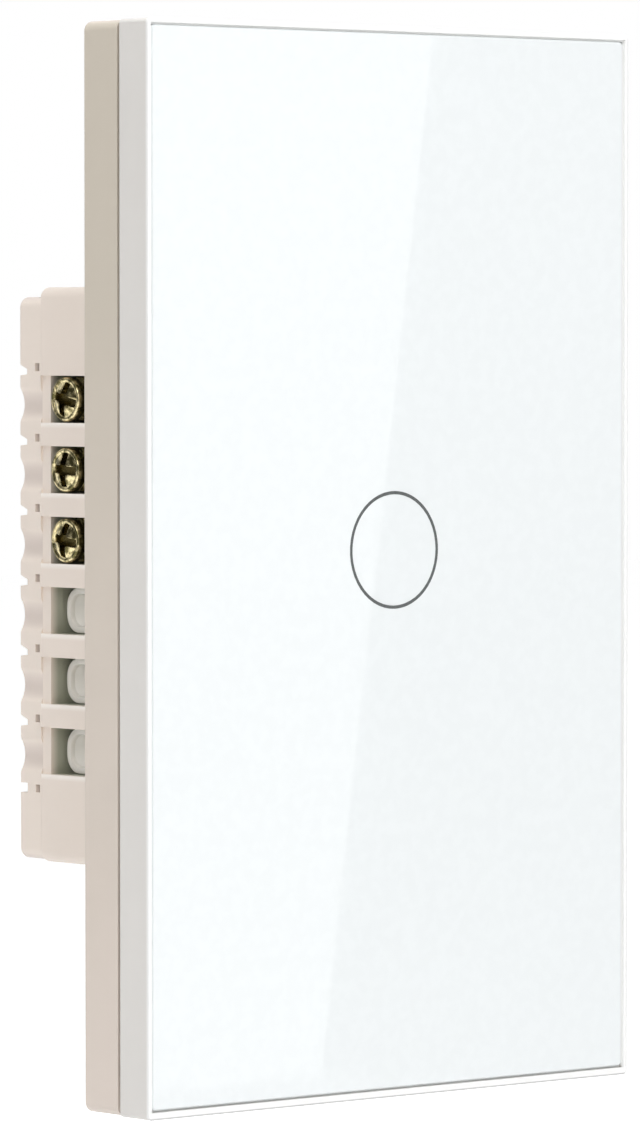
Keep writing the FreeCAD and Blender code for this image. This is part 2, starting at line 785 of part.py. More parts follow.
def cut_bays(body):
    """A row of bays in the side with a shallow guide beside each, and wire holes behind the live ones."""
    low, high = "first_bay - bay_height / 2", "first_bay + bay_height / 2"
    bay = cut(body, SIDE, "-housing_side", "bay_floor", box("bay_front", "bay_rear", low, high))
    guide = cut(body, SIDE, "-housing_side", "guide_recess - housing_side",
                box("bay_rear", "housing_depth", low, high))
    repeat(body, [bay, guide], "bay_spacing", "bay_count")
    wire = cut(body, FRONT, "bay_rear", "housing_depth",
               centred_box("wire_hole", "wire_hole", across="wire_left + wire_hole / 2", up="first_live"))
    repeat(body, [wire], "bay_spacing", "live_count")


# Rear cover

def make_rear_cover():
    body = new_body("rear_cover")
    pad(body, FRONT, "housing_depth", "cover_back",
        box("-cover_side", "cover_side", "cover_low", "cover_high", "housing_corner"))
    scallop_axis = "scallop_depth - scallop_radius - cover_side"
    scallop = cut(body, FRONT, "housing_depth", "cover_back",
                  disc(scallop_axis, "first_bay - scallop_drop", "scallop_radius"))
    repeat(body, [scallop], "bay_spacing", "bay_count")
    dress("Fillet", body, both(lies_on("x", "-cover_side"), runs_back,
                               between("z", "first_bay - scallop_width", "cover_high - column_size")),
          "crest_round")
    dress("Fillet", body, lies_on("y", "cover_back"), "cover_edge_round")
    left, right = "block_inner + tongue_gap", "housing_side - housing_wall - tongue_gap"
    low, high = "housing_low + housing_wall + tongue_gap", "housing_high - housing_wall - tongue_gap"
    clear_low, clear_high = "housing_low + column_size + 1", "housing_high - column_size - 1"
    clear_right = "housing_side - column_size - 1"
    pad(body, FRONT, "housing_depth - tongue_depth", "housing_depth",
        box(left, left + " + tongue_wall", clear_low, clear_high),
        box(right + " - tongue_wall", right, clear_low, clear_high),
        box(left + " + 2", clear_right, low, low + " + tongue_wall"),
        box(left + " + 2", clear_right, high + " - tongue_wall", high))
    cut(body, FRONT, "housing_depth", "cover_back - cover_wall",
        box(left + " + tongue_wall", right + " - tongue_wall", clear_low, clear_high))
    cut(body, FRONT, "housing_depth", "cover_back - cover_wall",
        box(left + " + 2", clear_right, low + " + tongue_wall", high + " - tongue_wall"))
    corners = four("rear_screw_side", "rear_screw_low", "rear_screw_high")
    cut(body, FRONT, "housing_depth", "cover_back",
        *[disc(x, z, "rear_screw_radius + rear_screw_gap") for x, z in corners])
    cut(body, FRONT, "rear_head_seat", "cover_back",
        *[disc(x, z, "rear_head_radius + counterbore_gap") for x, z in corners])
    wire = cut(body, FRONT, "housing_depth", "cover_back",
               centred_box("wire_hole", "wire_hole", across="wire_left + wire_hole / 2", up="first_live"))
    repeat(body, [wire], "bay_spacing", "live_count")
    dress("Chamfer", body, both(lies_on("y", "cover_back"), between("x", "wire_left", "wire_right"),
                                between("z", "first_live - wire_hole", "cover_high - column_size")), "funnel")
    notch_floor, notch_end = "cover_back - notch_depth", "notch_reach - cover_side"
    cut(body, SIDE, "-cover_side", notch_end,
        box(notch_floor, "cover_back", "first_notch - notch_width / 2", "first_notch + notch_width / 2"))
    high = "first_notch + bay_spacing - lip_notch_drop + lip_notch_floor / 2"
    low = "first_notch + bay_spacing - lip_notch_drop - lip_notch_floor / 2"
    sloping = cut(body, SIDE, "-cover_side", notch_end, outline([
        (notch_floor, low), ("cover_back", low + " - lip_notch_slope / 4"),
        ("cover_back", high + " + lip_notch_slope"), (notch_floor, high)]))
    repeat(body, [sloping], "bay_spacing", "bay_count")
    latch_front = "housing_depth + latch_slot_set_back"
    latch = cut(body, SIDE, "-cover_side", "latch_slot_reach - cover_side",
                box(latch_front, latch_front + " + latch_slot_length",
                    "first_notch - latch_slot_width / 2", "first_notch + latch_slot_width / 2"))
    repeat(body, [latch], "bay_spacing", "bay_count + 1")


def make_rear_screws():
    """Four long screws from the rear cover through the housing into the base."""
    body = new_body("rear_screws")
    corners = four("rear_screw_side", "rear_screw_low", "rear_screw_high")
    head_back = "rear_head_seat + rear_head_depth"
    pad(body, FRONT, "rear_head_seat", head_back, *[disc(x, z, "rear_head_radius") for x, z in corners])
    dress("Chamfer", body, lies_on("y", head_back), "rear_head_depth / 3")
    pad(body, FRONT, "rear_screw_tip", "rear_head_seat", *[disc(x, z, "rear_screw_radius") for x, z in corners])
    for width, height in (("rear_head_radius * 1.2", "0.6"), ("0.6", "rear_head_radius * 1.2")):
        cut(body, FRONT, head_back + " - rear_head_depth * 0.6", head_back,
            *[centred_box(width, height, across=x, up=z) for x, z in corners])


# Screw terminals: a cage, a clamp plate and a captive screw for each live bay

def live_bays():
    for k in range(int(SIZES["live_count"])):
        yield k + 1, "first_live + bay_spacing * (live_count - 1 - %d)" % k


def make_terminal_cage(number, up):
    """Square tube that the wire goes into from behind, with a tail for the power board."""
    body = new_body("terminal_cage_%d" % number)
    end = "cage_length / 2"
    pad(body, FRONT, "-" + end, end,
        box("cage_left", "cage_right", "-cage_height / 2", "cage_height / 2"))
    cut(body, FRONT, "-" + end, end,
        box("cage_left + cage_wall", "cage_right - cage_wall",
            "cage_wall - cage_height / 2", "cage_height / 2 - cage_wall"))
    cut(body, SIDE, "cage_left", "cage_left + cage_wall", disc("0", "0", "shank_radius + thread_gap"))
    pad(body, FRONT, "tail_tip - terminal_axis", "-" + end,
        box("cage_right - cage_wall", "cage_right", "-tail_width / 2", "tail_width / 2"))
    place(body, back="terminal_axis", up=up)


def make_clamp_plate(number, up):
    body = new_body("clamp_plate_%d" % number)
    half_length = "(cage_length / 2 - clamp_end_gap)"
    half_height = "(cage_height / 2 - cage_wall - clamp_gap)"
    pad(body, SIDE, "clamp_left", "clamp_right",
        box("-" + half_length, half_length, "-" + half_height, half_height))
    cut(body, SIDE, "clamp_left", "clamp_right", disc("0", "0", "neck_radius + neck_gap"))
    ribs = [("%s%s * 0.7 - clamp_rib" % (sign, half_length), "%s%s * 0.7 + clamp_rib" % (sign, half_length))
            for sign in ("-", "")]
    pad(body, SIDE, "clamp_right", "clamp_right + clamp_rib",
        *[box(a, b, "-" + half_height, half_height) for a, b in ribs])
    place(body, back="terminal_axis", up=up)


def make_terminal_screw(number, up, turned):
    """Domed screw with crossed slots and a deeper middle; its riveted end carries the clamp plate."""
    body = new_body("terminal_screw_%d" % number)
    shoulder, rivet = "clamp_left - neck_end_gap", "clamp_right + neck_end_gap"
    revolve(body, TOP, "X_Axis", outline([
        ("dome_top", "0"), ("rim_front", "head_radius", "dome"), ("under_head", "head_radius"),
        ("under_head", "shank_radius"), (shoulder, "shank_radius"), (shoulder, "neck_radius"),
        (rivet, "neck_radius"), (rivet, "rivet_radius"), (rivet + " + rivet_thickness", "rivet_radius"),
        (rivet + " + rivet_thickness", "0")]))
    across = "head_radius * 2 + 1"
    for width, height in (("slot_width", across), (across, "slot_width")):
        cut(body, SIDE, "dome_top", "dome_top + slot_depth", centred_box(width, height))
    cut(body, SIDE, "dome_top", "dome_top + recess_depth", disc("0", "0", "recess_radius"))
    body.Placement = FreeCAD.Placement(Vector(0, 0, 0), FreeCAD.Rotation(Vector(1, 0, 0), turned))
    place(body, back="terminal_axis", up=up)


# Touch board, its sensing spring, lamps and radio module

def make_touch_board():
    body = new_body("touch_board")
    pad(body, FRONT, "touch_board_front", "touch_board_back",
        box("-touch_board_width / 2", "touch_board_width / 2", "touch_board_low", "touch_board_high"))
    cut(body, FRONT, "touch_board_front", "touch_board_back",
        *[disc(x, z, "board_screw_radius + board_screw_gap") for x, z in board_screw_places()])
    cut(body, FRONT, "touch_board_front", "touch_board_back",
        *[centred_box("pin_width + 2 * pin_gap", "pin_width + 2 * pin_gap", across=x, up=z)
          for x, z in pin_places()])


def make_board_screws():
    body = new_body("board_screws")
    places = board_screw_places()
    head_front = "touch_board_front - board_screw_head_depth"
    pad(body, FRONT, head_front, "touch_board_front", *[disc(x, z, "board_screw_head") for x, z in places])
    pad(body, FRONT, "touch_board_front", "touch_board_back + board_screw_bite",
        *[disc(x, z, "board_screw_radius") for x, z in places])
    cut(body, FRONT, head_front, head_front + " + board_screw_head_depth / 2",
        *[centred_box("board_screw_head * 2 + 1", "board_screw_slot", across=x, up=z) for x, z in places])


def biarc(start, along, end, onward):
    """Two arcs from start to end that keep both directions."""
    chord = end - start
    both_ways = along + onward
    share = 2 * (1 - along.dot(onward))
    reach = (math.sqrt(chord.dot(both_ways) ** 2 + share * chord.dot(chord)) - chord.dot(both_ways)) / share
    turn_out, turn_in = start + along * reach, end - onward * reach
    middle = (turn_out + turn_in) * 0.5
    return [arc_from(start, along, middle), arc_from(middle, turn_in - middle, end)]


def arc_from(first, way, last):
    """The arc that leaves the first point in the given direction and ends at the last."""
    length = first.distanceToPoint(last)
    side = (last - first) * (1 / length)
    halfway = Vector(way).normalize() + side
    top = first + halfway * (length / halfway.dot(halfway))
    return Part.Arc(first, top, last).toShape()


def make_touch_spring():
    """Coil spring that carries the touch signal from the glass to the board."""
    spring = doc.addObject("Part::Feature", "touch_spring")
    spring.Label = "touch_spring"
    radius, wire, turns = value("spring_radius"), value("spring_wire"), value("spring_turns")
    rise = value("spring_length") - 2 * wire
    quarters = int(round(turns * 4))
    pitch = rise / turns

    def spot(k):
        angle = math.pi / 2 * k
        return Vector(radius * math.cos(angle), -rise * k / quarters, radius * math.sin(angle))

    def heading(k):
        angle = math.pi / 2 * k
        way = Vector(-radius * math.sin(angle), -pitch / (2 * math.pi), radius * math.cos(angle))
        return way.normalize()

    edges = []
    for k in range(quarters):
        edges += biarc(spot(k), heading(k), spot(k + 1), heading(k + 1))
    path = Part.Wire(edges)
    sides = int(SIZES["spring_sides"])
    across, ahead = Vector(1, 0, 0), heading(0)
    corners = [spot(0) + FreeCAD.Rotation(ahead, 360.0 * k / sides).multVec(across) * wire
               for k in range(sides)]
    section = Part.makePolygon(corners + corners[:1])
    spring.Shape = path.makePipeShell([section], True, False)
    base = value("touch_board_front") - wire
    spring.Placement = FreeCAD.Placement(Vector(0, base, value("ring_rise")), FreeCAD.Rotation())
    pieces.append(spring)
    print("spring: gap between turns %.2f mm" % (pitch - 2 * wire))


def make_light_guide():
    """Clear tube round the lamps, up to the glass."""
    body = new_body("light_guide")
    pad(body, FRONT, "glass_back", "touch_board_front",
        disc("0", "ring_rise", "guide_radius"), disc("0", "ring_rise", "guide_radius - guide_wall"))


def make_indicator_lamps():
    body = new_body("indicator_lamps")
    pad(body, FRONT, "touch_board_front - led_height", "touch_board_front",
        *[centred_box("led_length", "led_width", across="0", up="ring_rise %s led_spacing / 2" % sign)
          for sign in ("-", "+")])


def make_touch_chip():
    body = new_body("touch_chip")
    middle = "ring_rise + chip_rise"
    pad(body, FRONT, "touch_board_front - chip_height", "touch_board_front - 0.1",
        centred_box("chip_length", "chip_width", up=middle))
    legs = []
    for sign in ("-", "+"):
        for k in range(4):
            legs.append(centred_box("0.35", "1.1", across="chip_length * %.3f" % ((k - 1.5) * 0.24),
                                    up="%s %s (chip_width / 2 + 0.45)" % (middle, sign)))
    pad(body, FRONT, "touch_board_front - 0.3", "touch_board_front", *legs)


def pin_places():
    spots = []
    for row in range(int(SIZES["pin_rows"])):
        for column in range(int(SIZES["pin_columns"])):
            spots.append(("pin_spacing * (%d - (pin_columns - 1) / 2)" % column,
                          "header_middle + pin_spacing * (%d - (pin_rows - 1) / 2)" % row))
    return spots


def make_header():
    """Pins between the two boards, a plug on the front one and a socket on the rear one."""
    pins = new_body("header_pins")
    pad(pins, FRONT, "touch_board_front - pin_stand", "power_board_seat + pin_stand",
        *[centred_box("pin_width", "pin_width", across=x, up=z) for x, z in pin_places()])
    block = box("-(header_half_width)", "header_half_width",
                "header_middle - header_half_height", "header_middle + header_half_height")
    holes = [centred_box("pin_width + 2 * pin_gap", "pin_width + 2 * pin_gap", across=x, up=z)
             for x, z in pin_places()]
    for label, low, high in (("header_plug", "touch_board_back", "touch_board_back + plug_depth"),
                             ("header_socket", "power_board_front - socket_depth", "power_board_front")):
        body = new_body(label)
        pad(body, FRONT, low, high, block)
        cut(body, FRONT, low, high, *holes)


def make_radio():
    board = new_body("radio_board")
    middle = "ring_rise + radio_rise"
    pad(board, FRONT, "touch_board_back", "touch_board_back + radio_thickness",
        centred_box("radio_width", "radio_height", up=middle))
    shield = new_body("radio_shield")
    front, back = "touch_board_back + radio_thickness", "touch_board_back + radio_thickness + shield_depth"
    pad(shield, FRONT, front, back, centred_box("shield_width", "shield_height", up=middle))
    cut(shield, FRONT, front, back + " - shield_wall",
        centred_box("shield_width - 2 * shield_wall", "shield_height - 2 * shield_wall", up=middle))


# Power board and what stands on it; each part is drawn about its own middle and placed

def make_power_board():
    body = new_body("power_board")
    notch = "column_size - housing_wall"
    side, low, high = "power_board_side", "power_board_low", "power_board_high"
    pad(body, FRONT, "power_board_front", "power_board_seat", outline([
        ("-%s + %s" % (side, notch), low), ("%s - (%s)" % (side, notch), low),
        ("%s - (%s)" % (side, notch), "%s + %s" % (low, notch)), (side, "%s + %s" % (low, notch)),
        (side, "%s - (%s)" % (high, notch)), ("%s - (%s)" % (side, notch), "%s - (%s)" % (high, notch)),
        ("%s - (%s)" % (side, notch), high), ("-%s + %s" % (side, notch), high),
        ("-%s + %s" % (side, notch), "%s - (%s)" % (high, notch)),
        ("-" + side, "%s - (%s)" % (high, notch)), ("-" + side, "%s + %s" % (low, notch)),
        ("-%s + %s" % (side, notch), "%s + %s" % (low, notch))]))
    cut(body, FRONT, "power_board_front", "power_board_seat",
        *[centred_box("pin_width + 2 * pin_gap", "pin_width + 2 * pin_gap", across=x, up=z)
          for x, z in pin_places()])
    cut(body, FRONT, "power_board_front", "power_board_seat",
        *[box("cage_right - cage_wall - tail_gap", "cage_right + tail_gap",
              z + " - tail_width / 2 - tail_gap", z + " + tail_width / 2 + tail_gap")
          for _, z in live_bays()])
    cut(body, FRONT, "power_board_front", "power_board_seat",
        *[centred_box("relay_pin_width + 2 * relay_pin_gap", "relay_pin_thickness + 2 * relay_pin_gap",
                      across="relay_across + " + x, up="relay_up + " + z) for x, z in relay_pins()])


def relay_pins():
    return [("(relay_width / 2 - 2)", "(relay_height / 2 - 2.5)"), ("(relay_width / 2 - 2)", "(-3)"),
            ("(2 - relay_width / 2)", "(3 - relay_height / 2)"),
            ("(relay_width / 2 - 5)", "(2 - relay_height / 2)")]


def seat(body, across, up):
    """Stand a part that is drawn with its foot at zero on the power board."""
    place(body, across=across, back="power_board_seat", up=up)


def make_relay():
    """Small power relay: base, cover, coil on its core, yoke, armature and contacts."""
    base = new_body("relay_base")
    pad(base, FRONT, "0", "relay_base_depth", centred_box("relay_width", "relay_height"))
    pad(base, FRONT, "-power_board_thickness - tail_stand", "0",
        *[centred_box("relay_pin_width", "relay_pin_thickness", across=x, up=z) for x, z in relay_pins()])
    pad(base, FRONT, "relay_base_depth", "coil_depth - flange_radius * 0.8",
        centred_box("yoke_width", "coil_length * 0.7", across="-relay_shift"))
    seat(base, "relay_across", "relay_up")

    cover = new_body("relay_cover")
    pad(cover, FRONT, "relay_base_depth", "relay_depth", centred_box("relay_width", "relay_height"))
    dress("Chamfer", cover, lies_on("y", "relay_depth"), "relay_wall / 2")
    cut(cover, FRONT, "relay_base_depth", "relay_depth - relay_wall",
        centred_box("relay_width - 2 * relay_wall", "relay_height - 2 * relay_wall"))
    seat(cover, "relay_across", "relay_up")

    coil = new_body("relay_coil")
    end = "coil_length / 2"
    outer = end + " + flange_thickness"
    pad(coil, TOP, "-" + end, end, disc("0", "0", "coil_radius"))
    for low, high in (("-(%s)" % outer, "-" + end), (end, outer)):
        pad(coil, TOP, low, high, centred_box("2 * flange_radius", "2 * flange_radius"))
    cut(coil, TOP, "-(%s)" % outer, outer, disc("0", "0", "core_radius"))
    place(coil, "relay_across - relay_shift", "power_board_seat + coil_depth", "relay_up - relay_drop")

    yoke = new_body("relay_yoke")
    foot = "-(%s) - yoke_thickness" % outer
    pad(yoke, TOP, "-(%s)" % outer, "pole_face", disc("0", "0", "core_radius"))
    pad(yoke, TOP, foot, "-(%s)" % outer,
        box("-flange_radius", "yoke_left + yoke_thickness", "-yoke_width / 2", "yoke_width / 2"))
    pad(yoke, TOP, foot, "armature_low - pivot_gap",
        box("yoke_left", "yoke_left + yoke_thickness", "-yoke_width / 2", "yoke_width / 2"))
    cut(yoke, FRONT, "-yoke_width / 2", "yoke_width / 2",
        disc("pivot_across", "armature_low", "heel_radius + heel_clearance"))
    place(yoke, "relay_across - relay_shift", "power_board_seat + coil_depth", "relay_up - relay_drop")

    armature = new_body("relay_armature")
    pad(armature, FRONT, "-yoke_width / 2", "yoke_width / 2",
        disc("pivot_across", "armature_low", "heel_radius"))
    bend = "yoke_left + yoke_thickness + 0.3"
    pad(armature, TOP, "armature_low", "armature_high",
        box("-flange_radius", bend + " + blade_thickness", "-yoke_width / 2", "yoke_width / 2"))
    pad(armature, TOP, "armature_high - blade_length", "armature_low",
        box(bend, bend + " + blade_thickness", "-blade_width / 2", "blade_width / 2"))
    pad(armature, SIDE, bend + " + blade_thickness", bend + " + blade_thickness + contact_height",
        disc("0", "armature_high - blade_length + 1.5", "contact_radius"))
    place(armature, "relay_across - relay_shift", "power_board_seat + coil_depth", "relay_up - relay_drop")

    contacts = new_body("relay_contacts")
    button = bend + " + blade_thickness + contact_height + contact_gap"
    strip = button + " + contact_height"
    level = "armature_high - blade_length + 1.5"
    pad(contacts, SIDE, strip, strip + " + blade_thickness",
        box("relay_base_depth - coil_depth", "blade_width / 2", level + " - 1.2", level + " + 1.2"))
    pad(contacts, SIDE, button, strip, disc("0", level, "contact_radius"))
    place(contacts, "relay_across - relay_shift", "power_board_seat + coil_depth", "relay_up - relay_drop")


def make_filter_capacitor():
    body = new_body("filter_capacitor")
    pad(body, FRONT, "0", "filter_depth", centred_box("filter_width", "filter_height"))
    dress("Chamfer", body, lies_on("y", "filter_depth"), "filter_arris")
    seat(body, "filter_across", "filter_up")


def make_bulk_capacitor():
    """Upright can with its rolled groove near the foot."""
    body = new_body("bulk_capacitor")
    revolve(body, TOP, "Y_Axis", outline([
        ("0", "0"), ("bulk_radius", "0"), ("bulk_radius", "1.2"), ("bulk_radius - bulk_groove", "1.6"),
        ("bulk_radius", "2"), ("bulk_radius", "bulk_length - 0.3"), ("bulk_radius - 0.3", "bulk_length"),
        ("0", "bulk_length")]))
    seat(body, "bulk_across", "bulk_up")


def make_varistor():
    """Round disc on two legs, its flat side facing along the row."""
    body = new_body("varistor")
    half = "varistor_thickness / 2"
    pad(body, SIDE, "-" + half, half, disc("varistor_stand + varistor_radius", "0", "varistor_radius"))
    dress("Chamfer", body, lambda edge: True, "varistor_thickness * 0.25")
    pad(body, FRONT, "0", "varistor_stand + varistor_radius * 0.4",
        *[disc("0", "%svaristor_radius * 0.55" % sign, "0.35") for sign in ("-", "")])
    seat(body, "varistor_across", "varistor_up")


def make_fuse():
    """Glass fuse with two end caps, lying on the board."""
    body = new_body("fuse")
    cap = "fuse_length * 0.25"
    revolve(body, FRONT, "Z_Axis", outline([
        ("0", "-fuse_length / 2"), ("fuse_radius", "-fuse_length / 2"),
        ("fuse_radius", cap + " - fuse_length / 2"), ("fuse_radius - 0.25", cap + " - fuse_length / 2"),
        ("fuse_radius - 0.25", "fuse_length / 2 - " + cap), ("fuse_radius", "fuse_length / 2 - " + cap),
        ("fuse_radius", "fuse_length / 2"), ("0", "fuse_length / 2")]))
    place(body, "fuse_across", "power_board_seat + fuse_radius", "fuse_up")


def make_transformer():
    """Ferrite frame with a wound bobbin through it."""
    core = new_body("transformer_core")
    pad(core, FRONT, "0", "transformer_depth", centred_box("transformer_width", "transformer_height"))
    cut(core, FRONT, "0", "transformer_depth",
        centred_box("transformer_width - transformer_leg", "transformer_height - transformer_leg"))
    seat(core, "transformer_across", "transformer_up")
    winding = new_body("transformer_winding")
    top = "transformer_depth - winding_flange"
    revolve(winding, TOP, "Y_Axis", outline([
        ("0", "0"), ("winding_radius", "0"), ("winding_radius", "winding_flange"),
        ("winding_radius * 0.8", "winding_flange"), ("winding_radius * 0.8", top),
        ("winding_radius", top), ("winding_radius", "transformer_depth"), ("0", "transformer_depth")]))
    seat(winding, "transformer_across", "transformer_up")


def make_choke():
    body = new_body("choke")
    revolve(body, TOP, "Y_Axis", outline([
        ("0", "0"), ("choke_radius", "0"), ("choke_radius", "choke_flange"),
        ("choke_radius - 0.6", "choke_flange"), ("choke_radius - 0.6", "choke_length - choke_flange"),
        ("choke_radius", "choke_length - choke_flange"), ("choke_radius", "choke_length"),
        ("0", "choke_length")]))
    seat(body, "choke_across", "choke_up")


def make_bridge_rectifier():
    body = new_body("bridge_rectifier")
    pad(body, FRONT, "0.15", "bridge_height", centred_box("bridge_length", "bridge_width"))
    pad(body, FRONT, "0", "0.4",
        *[centred_box("0.8", "bridge_width + 2", across="bridge_length * %.2f" % share)
          for share in (-0.28, 0.28)])
    seat(body, "bridge_across", "bridge_up")


make_panel_frame()
make_glass_panel()
make_touch_ring()
make_panel_tape()
make_base_frame()
make_terminal_housing()
make_rear_cover()
make_rear_screws()
turns_at_rest = (16.0, 5.0, 11.0)
for number, up in live_bays():
    make_terminal_cage(number, up)
    make_clamp_plate(number, up)
    make_terminal_screw(number, up, turns_at_rest[(number - 1) % len(turns_at_rest)])
make_touch_board()
make_board_screws()
make_touch_spring()
make_light_guide()
make_indicator_lamps()
make_touch_chip()
make_header()
make_radio()
make_power_board()
make_relay()
make_filter_capacitor()
make_bulk_capacitor()
make_varistor()
make_fuse()
make_transformer()
make_choke()
make_bridge_rectifier()
doc.recompute()

failed = [o.Name for o in doc.Objects if "Invalid" in o.State or "Error" in o.State]
if failed:
    raise RuntimeError("these did not build: " + ", ".join(failed))
os.makedirs("parts", exist_ok=True)
for piece in pieces:
    shape = piece.Shape
    if shape.isNull() or not shape.isValid() or not shape.Solids:
        raise RuntimeError("bad shape: " + piece.Label)
    shape.exportStep("parts/%s.step" % piece.Label)
    size = shape.BoundBox
    print("%-22s %d solids %9.2f mm3  X %.2f %.2f  Y %.2f %.2f  Z %.2f %.2f" % (
        piece.Label, len(shape.Solids), shape.Volume,
        size.XMin, size.XMax, size.YMin, size.YMax, size.ZMin, size.ZMax))
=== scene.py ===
import json
import math

import bmesh
import bpy
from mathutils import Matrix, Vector


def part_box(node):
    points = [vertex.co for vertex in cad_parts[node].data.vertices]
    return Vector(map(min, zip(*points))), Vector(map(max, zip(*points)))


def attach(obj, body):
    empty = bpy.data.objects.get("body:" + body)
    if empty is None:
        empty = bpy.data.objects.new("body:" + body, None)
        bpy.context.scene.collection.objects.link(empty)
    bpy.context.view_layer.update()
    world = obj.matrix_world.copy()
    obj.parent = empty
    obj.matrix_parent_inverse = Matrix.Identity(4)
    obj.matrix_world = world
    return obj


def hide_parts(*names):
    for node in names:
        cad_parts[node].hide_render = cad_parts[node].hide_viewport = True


# Looks of a glass touch light switch, in the frame of the CAD model: X to the right, Z up, Y back
# into the wall. Pieces stand in metres. Steps, fades and grains are given in millimetres.

MM = 0.001
QUARTER_TURN = math.radians(90)

# The bays with a terminal, from the top down, and the blank ones below them
TERMINALS = (1, 2, 3)
BLANK_BAYS = (1, 2, 3)

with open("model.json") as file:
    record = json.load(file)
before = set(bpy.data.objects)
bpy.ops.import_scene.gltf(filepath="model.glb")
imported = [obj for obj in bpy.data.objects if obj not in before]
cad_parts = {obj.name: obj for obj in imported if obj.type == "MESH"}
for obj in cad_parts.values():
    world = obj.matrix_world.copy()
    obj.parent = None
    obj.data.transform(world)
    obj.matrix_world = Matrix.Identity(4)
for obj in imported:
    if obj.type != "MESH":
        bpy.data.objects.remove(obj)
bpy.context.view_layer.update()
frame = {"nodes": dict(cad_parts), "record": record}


# Measures of the CAD model

def middle(node):
    """The middle of a CAD node, in metres."""
    low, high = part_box(node)
    return (low + high) / 2


def box_mm(node):
    """The low and the high corner of a CAD node, in millimetres."""
    low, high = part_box(node)
    return low / MM, high / MM


bay_pitch = middle("terminal_cage_1").z - middle("terminal_cage_2").z
housing_side = box_mm("terminal_housing")[0].x
cover_joint = box_mm("terminal_housing")[1].y


# Tools of the bench

def only(piece):
    """Select this piece and nothing else."""
    bpy.ops.object.select_all(action="DESELECT")
    piece.select_set(True)
    bpy.context.view_layer.objects.active = piece


def edit(piece):
    only(piece)
    bpy.ops.object.mode_set(mode="EDIT")
    bpy.ops.mesh.select_all(action="DESELECT")


def leave_edit():
    bpy.ops.object.mode_set(mode="OBJECT")


def face_outwards():
    """In edit mode, select everything and turn its faces outwards."""
    bpy.ops.mesh.select_all(action="SELECT")
    bpy.ops.mesh.normals_make_consistent(inside=False)


def added(name):
    """The primitive just added, named, with its place moved into its mesh."""
    piece = bpy.context.object
    piece.name = name
    bpy.ops.object.transform_apply(location=True, rotation=True, scale=True)
    return piece


def modify(piece, kind, **settings):
    """Add a modifier with these settings and apply it."""
    only(piece)
    modifier = piece.modifiers.new(kind.lower(), kind)
    for key, value in settings.items():
        setattr(modifier, key, value)
    bpy.ops.object.modifier_apply(modifier=modifier.name)


def smooth(piece, degrees=35):
    only(piece)
    bpy.ops.object.shade_smooth_by_angle(angle=math.radians(degrees))


def casting(node, name):
    """A closed copy of a CAD node, its flat faces whole."""
    same_point, same_plane = 0.002 * MM, math.radians(0.5)
    piece = bpy.data.objects.new(name, frame["nodes"][node].data.copy())
    bpy.context.scene.collection.objects.link(piece)
    edit(piece)
    bpy.ops.mesh.select_all(action="SELECT")
    bpy.ops.mesh.remove_doubles(threshold=same_point)
    bpy.ops.mesh.dissolve_limited(angle_limit=same_plane)
    leave_edit()
    return piece


def soften(piece, width, fine=None, share=0.4, segments=3):
    """Round the sharp edges to this width, and those that the test picks to a share of it."""
    sharp = math.radians(32)
    shape = bmesh.new()
    shape.from_mesh(piece.data)
    weights = shape.edges.layers.float.new("bevel_weight_edge")
    for edge in shape.edges:
        if len(edge.link_faces) == 2 and edge.calc_face_angle() > sharp:
            centre = (edge.verts[0].co + edge.verts[1].co) / 2
            edge[weights] = share if fine and fine(centre) else 1.0
    shape.to_mesh(piece.data)
    shape.free()
    modify(piece, "BEVEL", limit_method="WEIGHT", width=width, segments=segments, use_clamp_overlap=True)
    smooth(piece)
    modify(piece, "WEIGHTED_NORMAL", keep_sharp=True, weight=100)


def turned(name, steps, corner=None):
    """A closed piece about the X axis, from (place, radius) steps in millimetres: round, or with a
    corner radius a rounded square that reaches that far to each side."""
    round_sides, corner_sides = 48, 10
    place, radius = steps[0]
    facing = {"location": (place * MM, 0, 0), "rotation": (0, QUARTER_TURN, 0)}
    bpy.ops.object.select_all(action="DESELECT")
    if corner:
        bpy.ops.mesh.primitive_plane_add(size=2 * radius * MM, **facing)
    else:
        bpy.ops.mesh.primitive_circle_add(vertices=round_sides, radius=radius * MM, fill_type="NGON",
                                          **facing)
    piece = added(name)
    edit(piece)
    bpy.ops.mesh.select_all(action="SELECT")
    if corner:
        bpy.ops.mesh.bevel(offset=corner * MM, segments=corner_sides, affect="VERTICES")
        bpy.ops.mesh.select_all(action="SELECT")
    for (x0, r0), (x1, r1) in zip(steps, steps[1:]):
        bpy.ops.mesh.extrude_region_move(TRANSFORM_OT_translate={"value": ((x1 - x0) * MM, 0, 0)})
        bpy.ops.transform.resize(value=(1, r1 / r0, r1 / r0), center_override=(x1 * MM, 0, 0))
    face_outwards()
    leave_edit()
    return piece


def block(name, low, high):
    """A box between two corners in metres."""
    bpy.ops.object.select_all(action="DESELECT")
    centre = [(a + b) / 2 for a, b in zip(low, high)]
    bpy.ops.mesh.primitive_cube_add(size=1, location=centre)
    bpy.context.object.scale = [b - a for a, b in zip(low, high)]
    return added(name)


def twin(piece, name, shift):
    """A copy with a mesh of its own, moved by the shift."""
    copy = bpy.data.objects.new(name, piece.data.copy())
    bpy.context.scene.collection.objects.link(copy)
    copy.location = shift
    only(copy)
    bpy.ops.object.transform_apply(location=True, rotation=True, scale=True)
    return copy


def merged(name, first, *others):
    """Several pieces joined into one."""
    only(first)
    for piece in others:
        piece.select_set(True)
    bpy.ops.object.join()
    first.name = name
    return first


def discard(*pieces):
    for piece in pieces:
        bpy.data.objects.remove(piece)


def cut_out(piece, cutter):
    """Take the cutter's room out of the piece."""
    modify(piece, "BOOLEAN", operation="DIFFERENCE", object=cutter, solver="EXACT")
    discard(cutter)


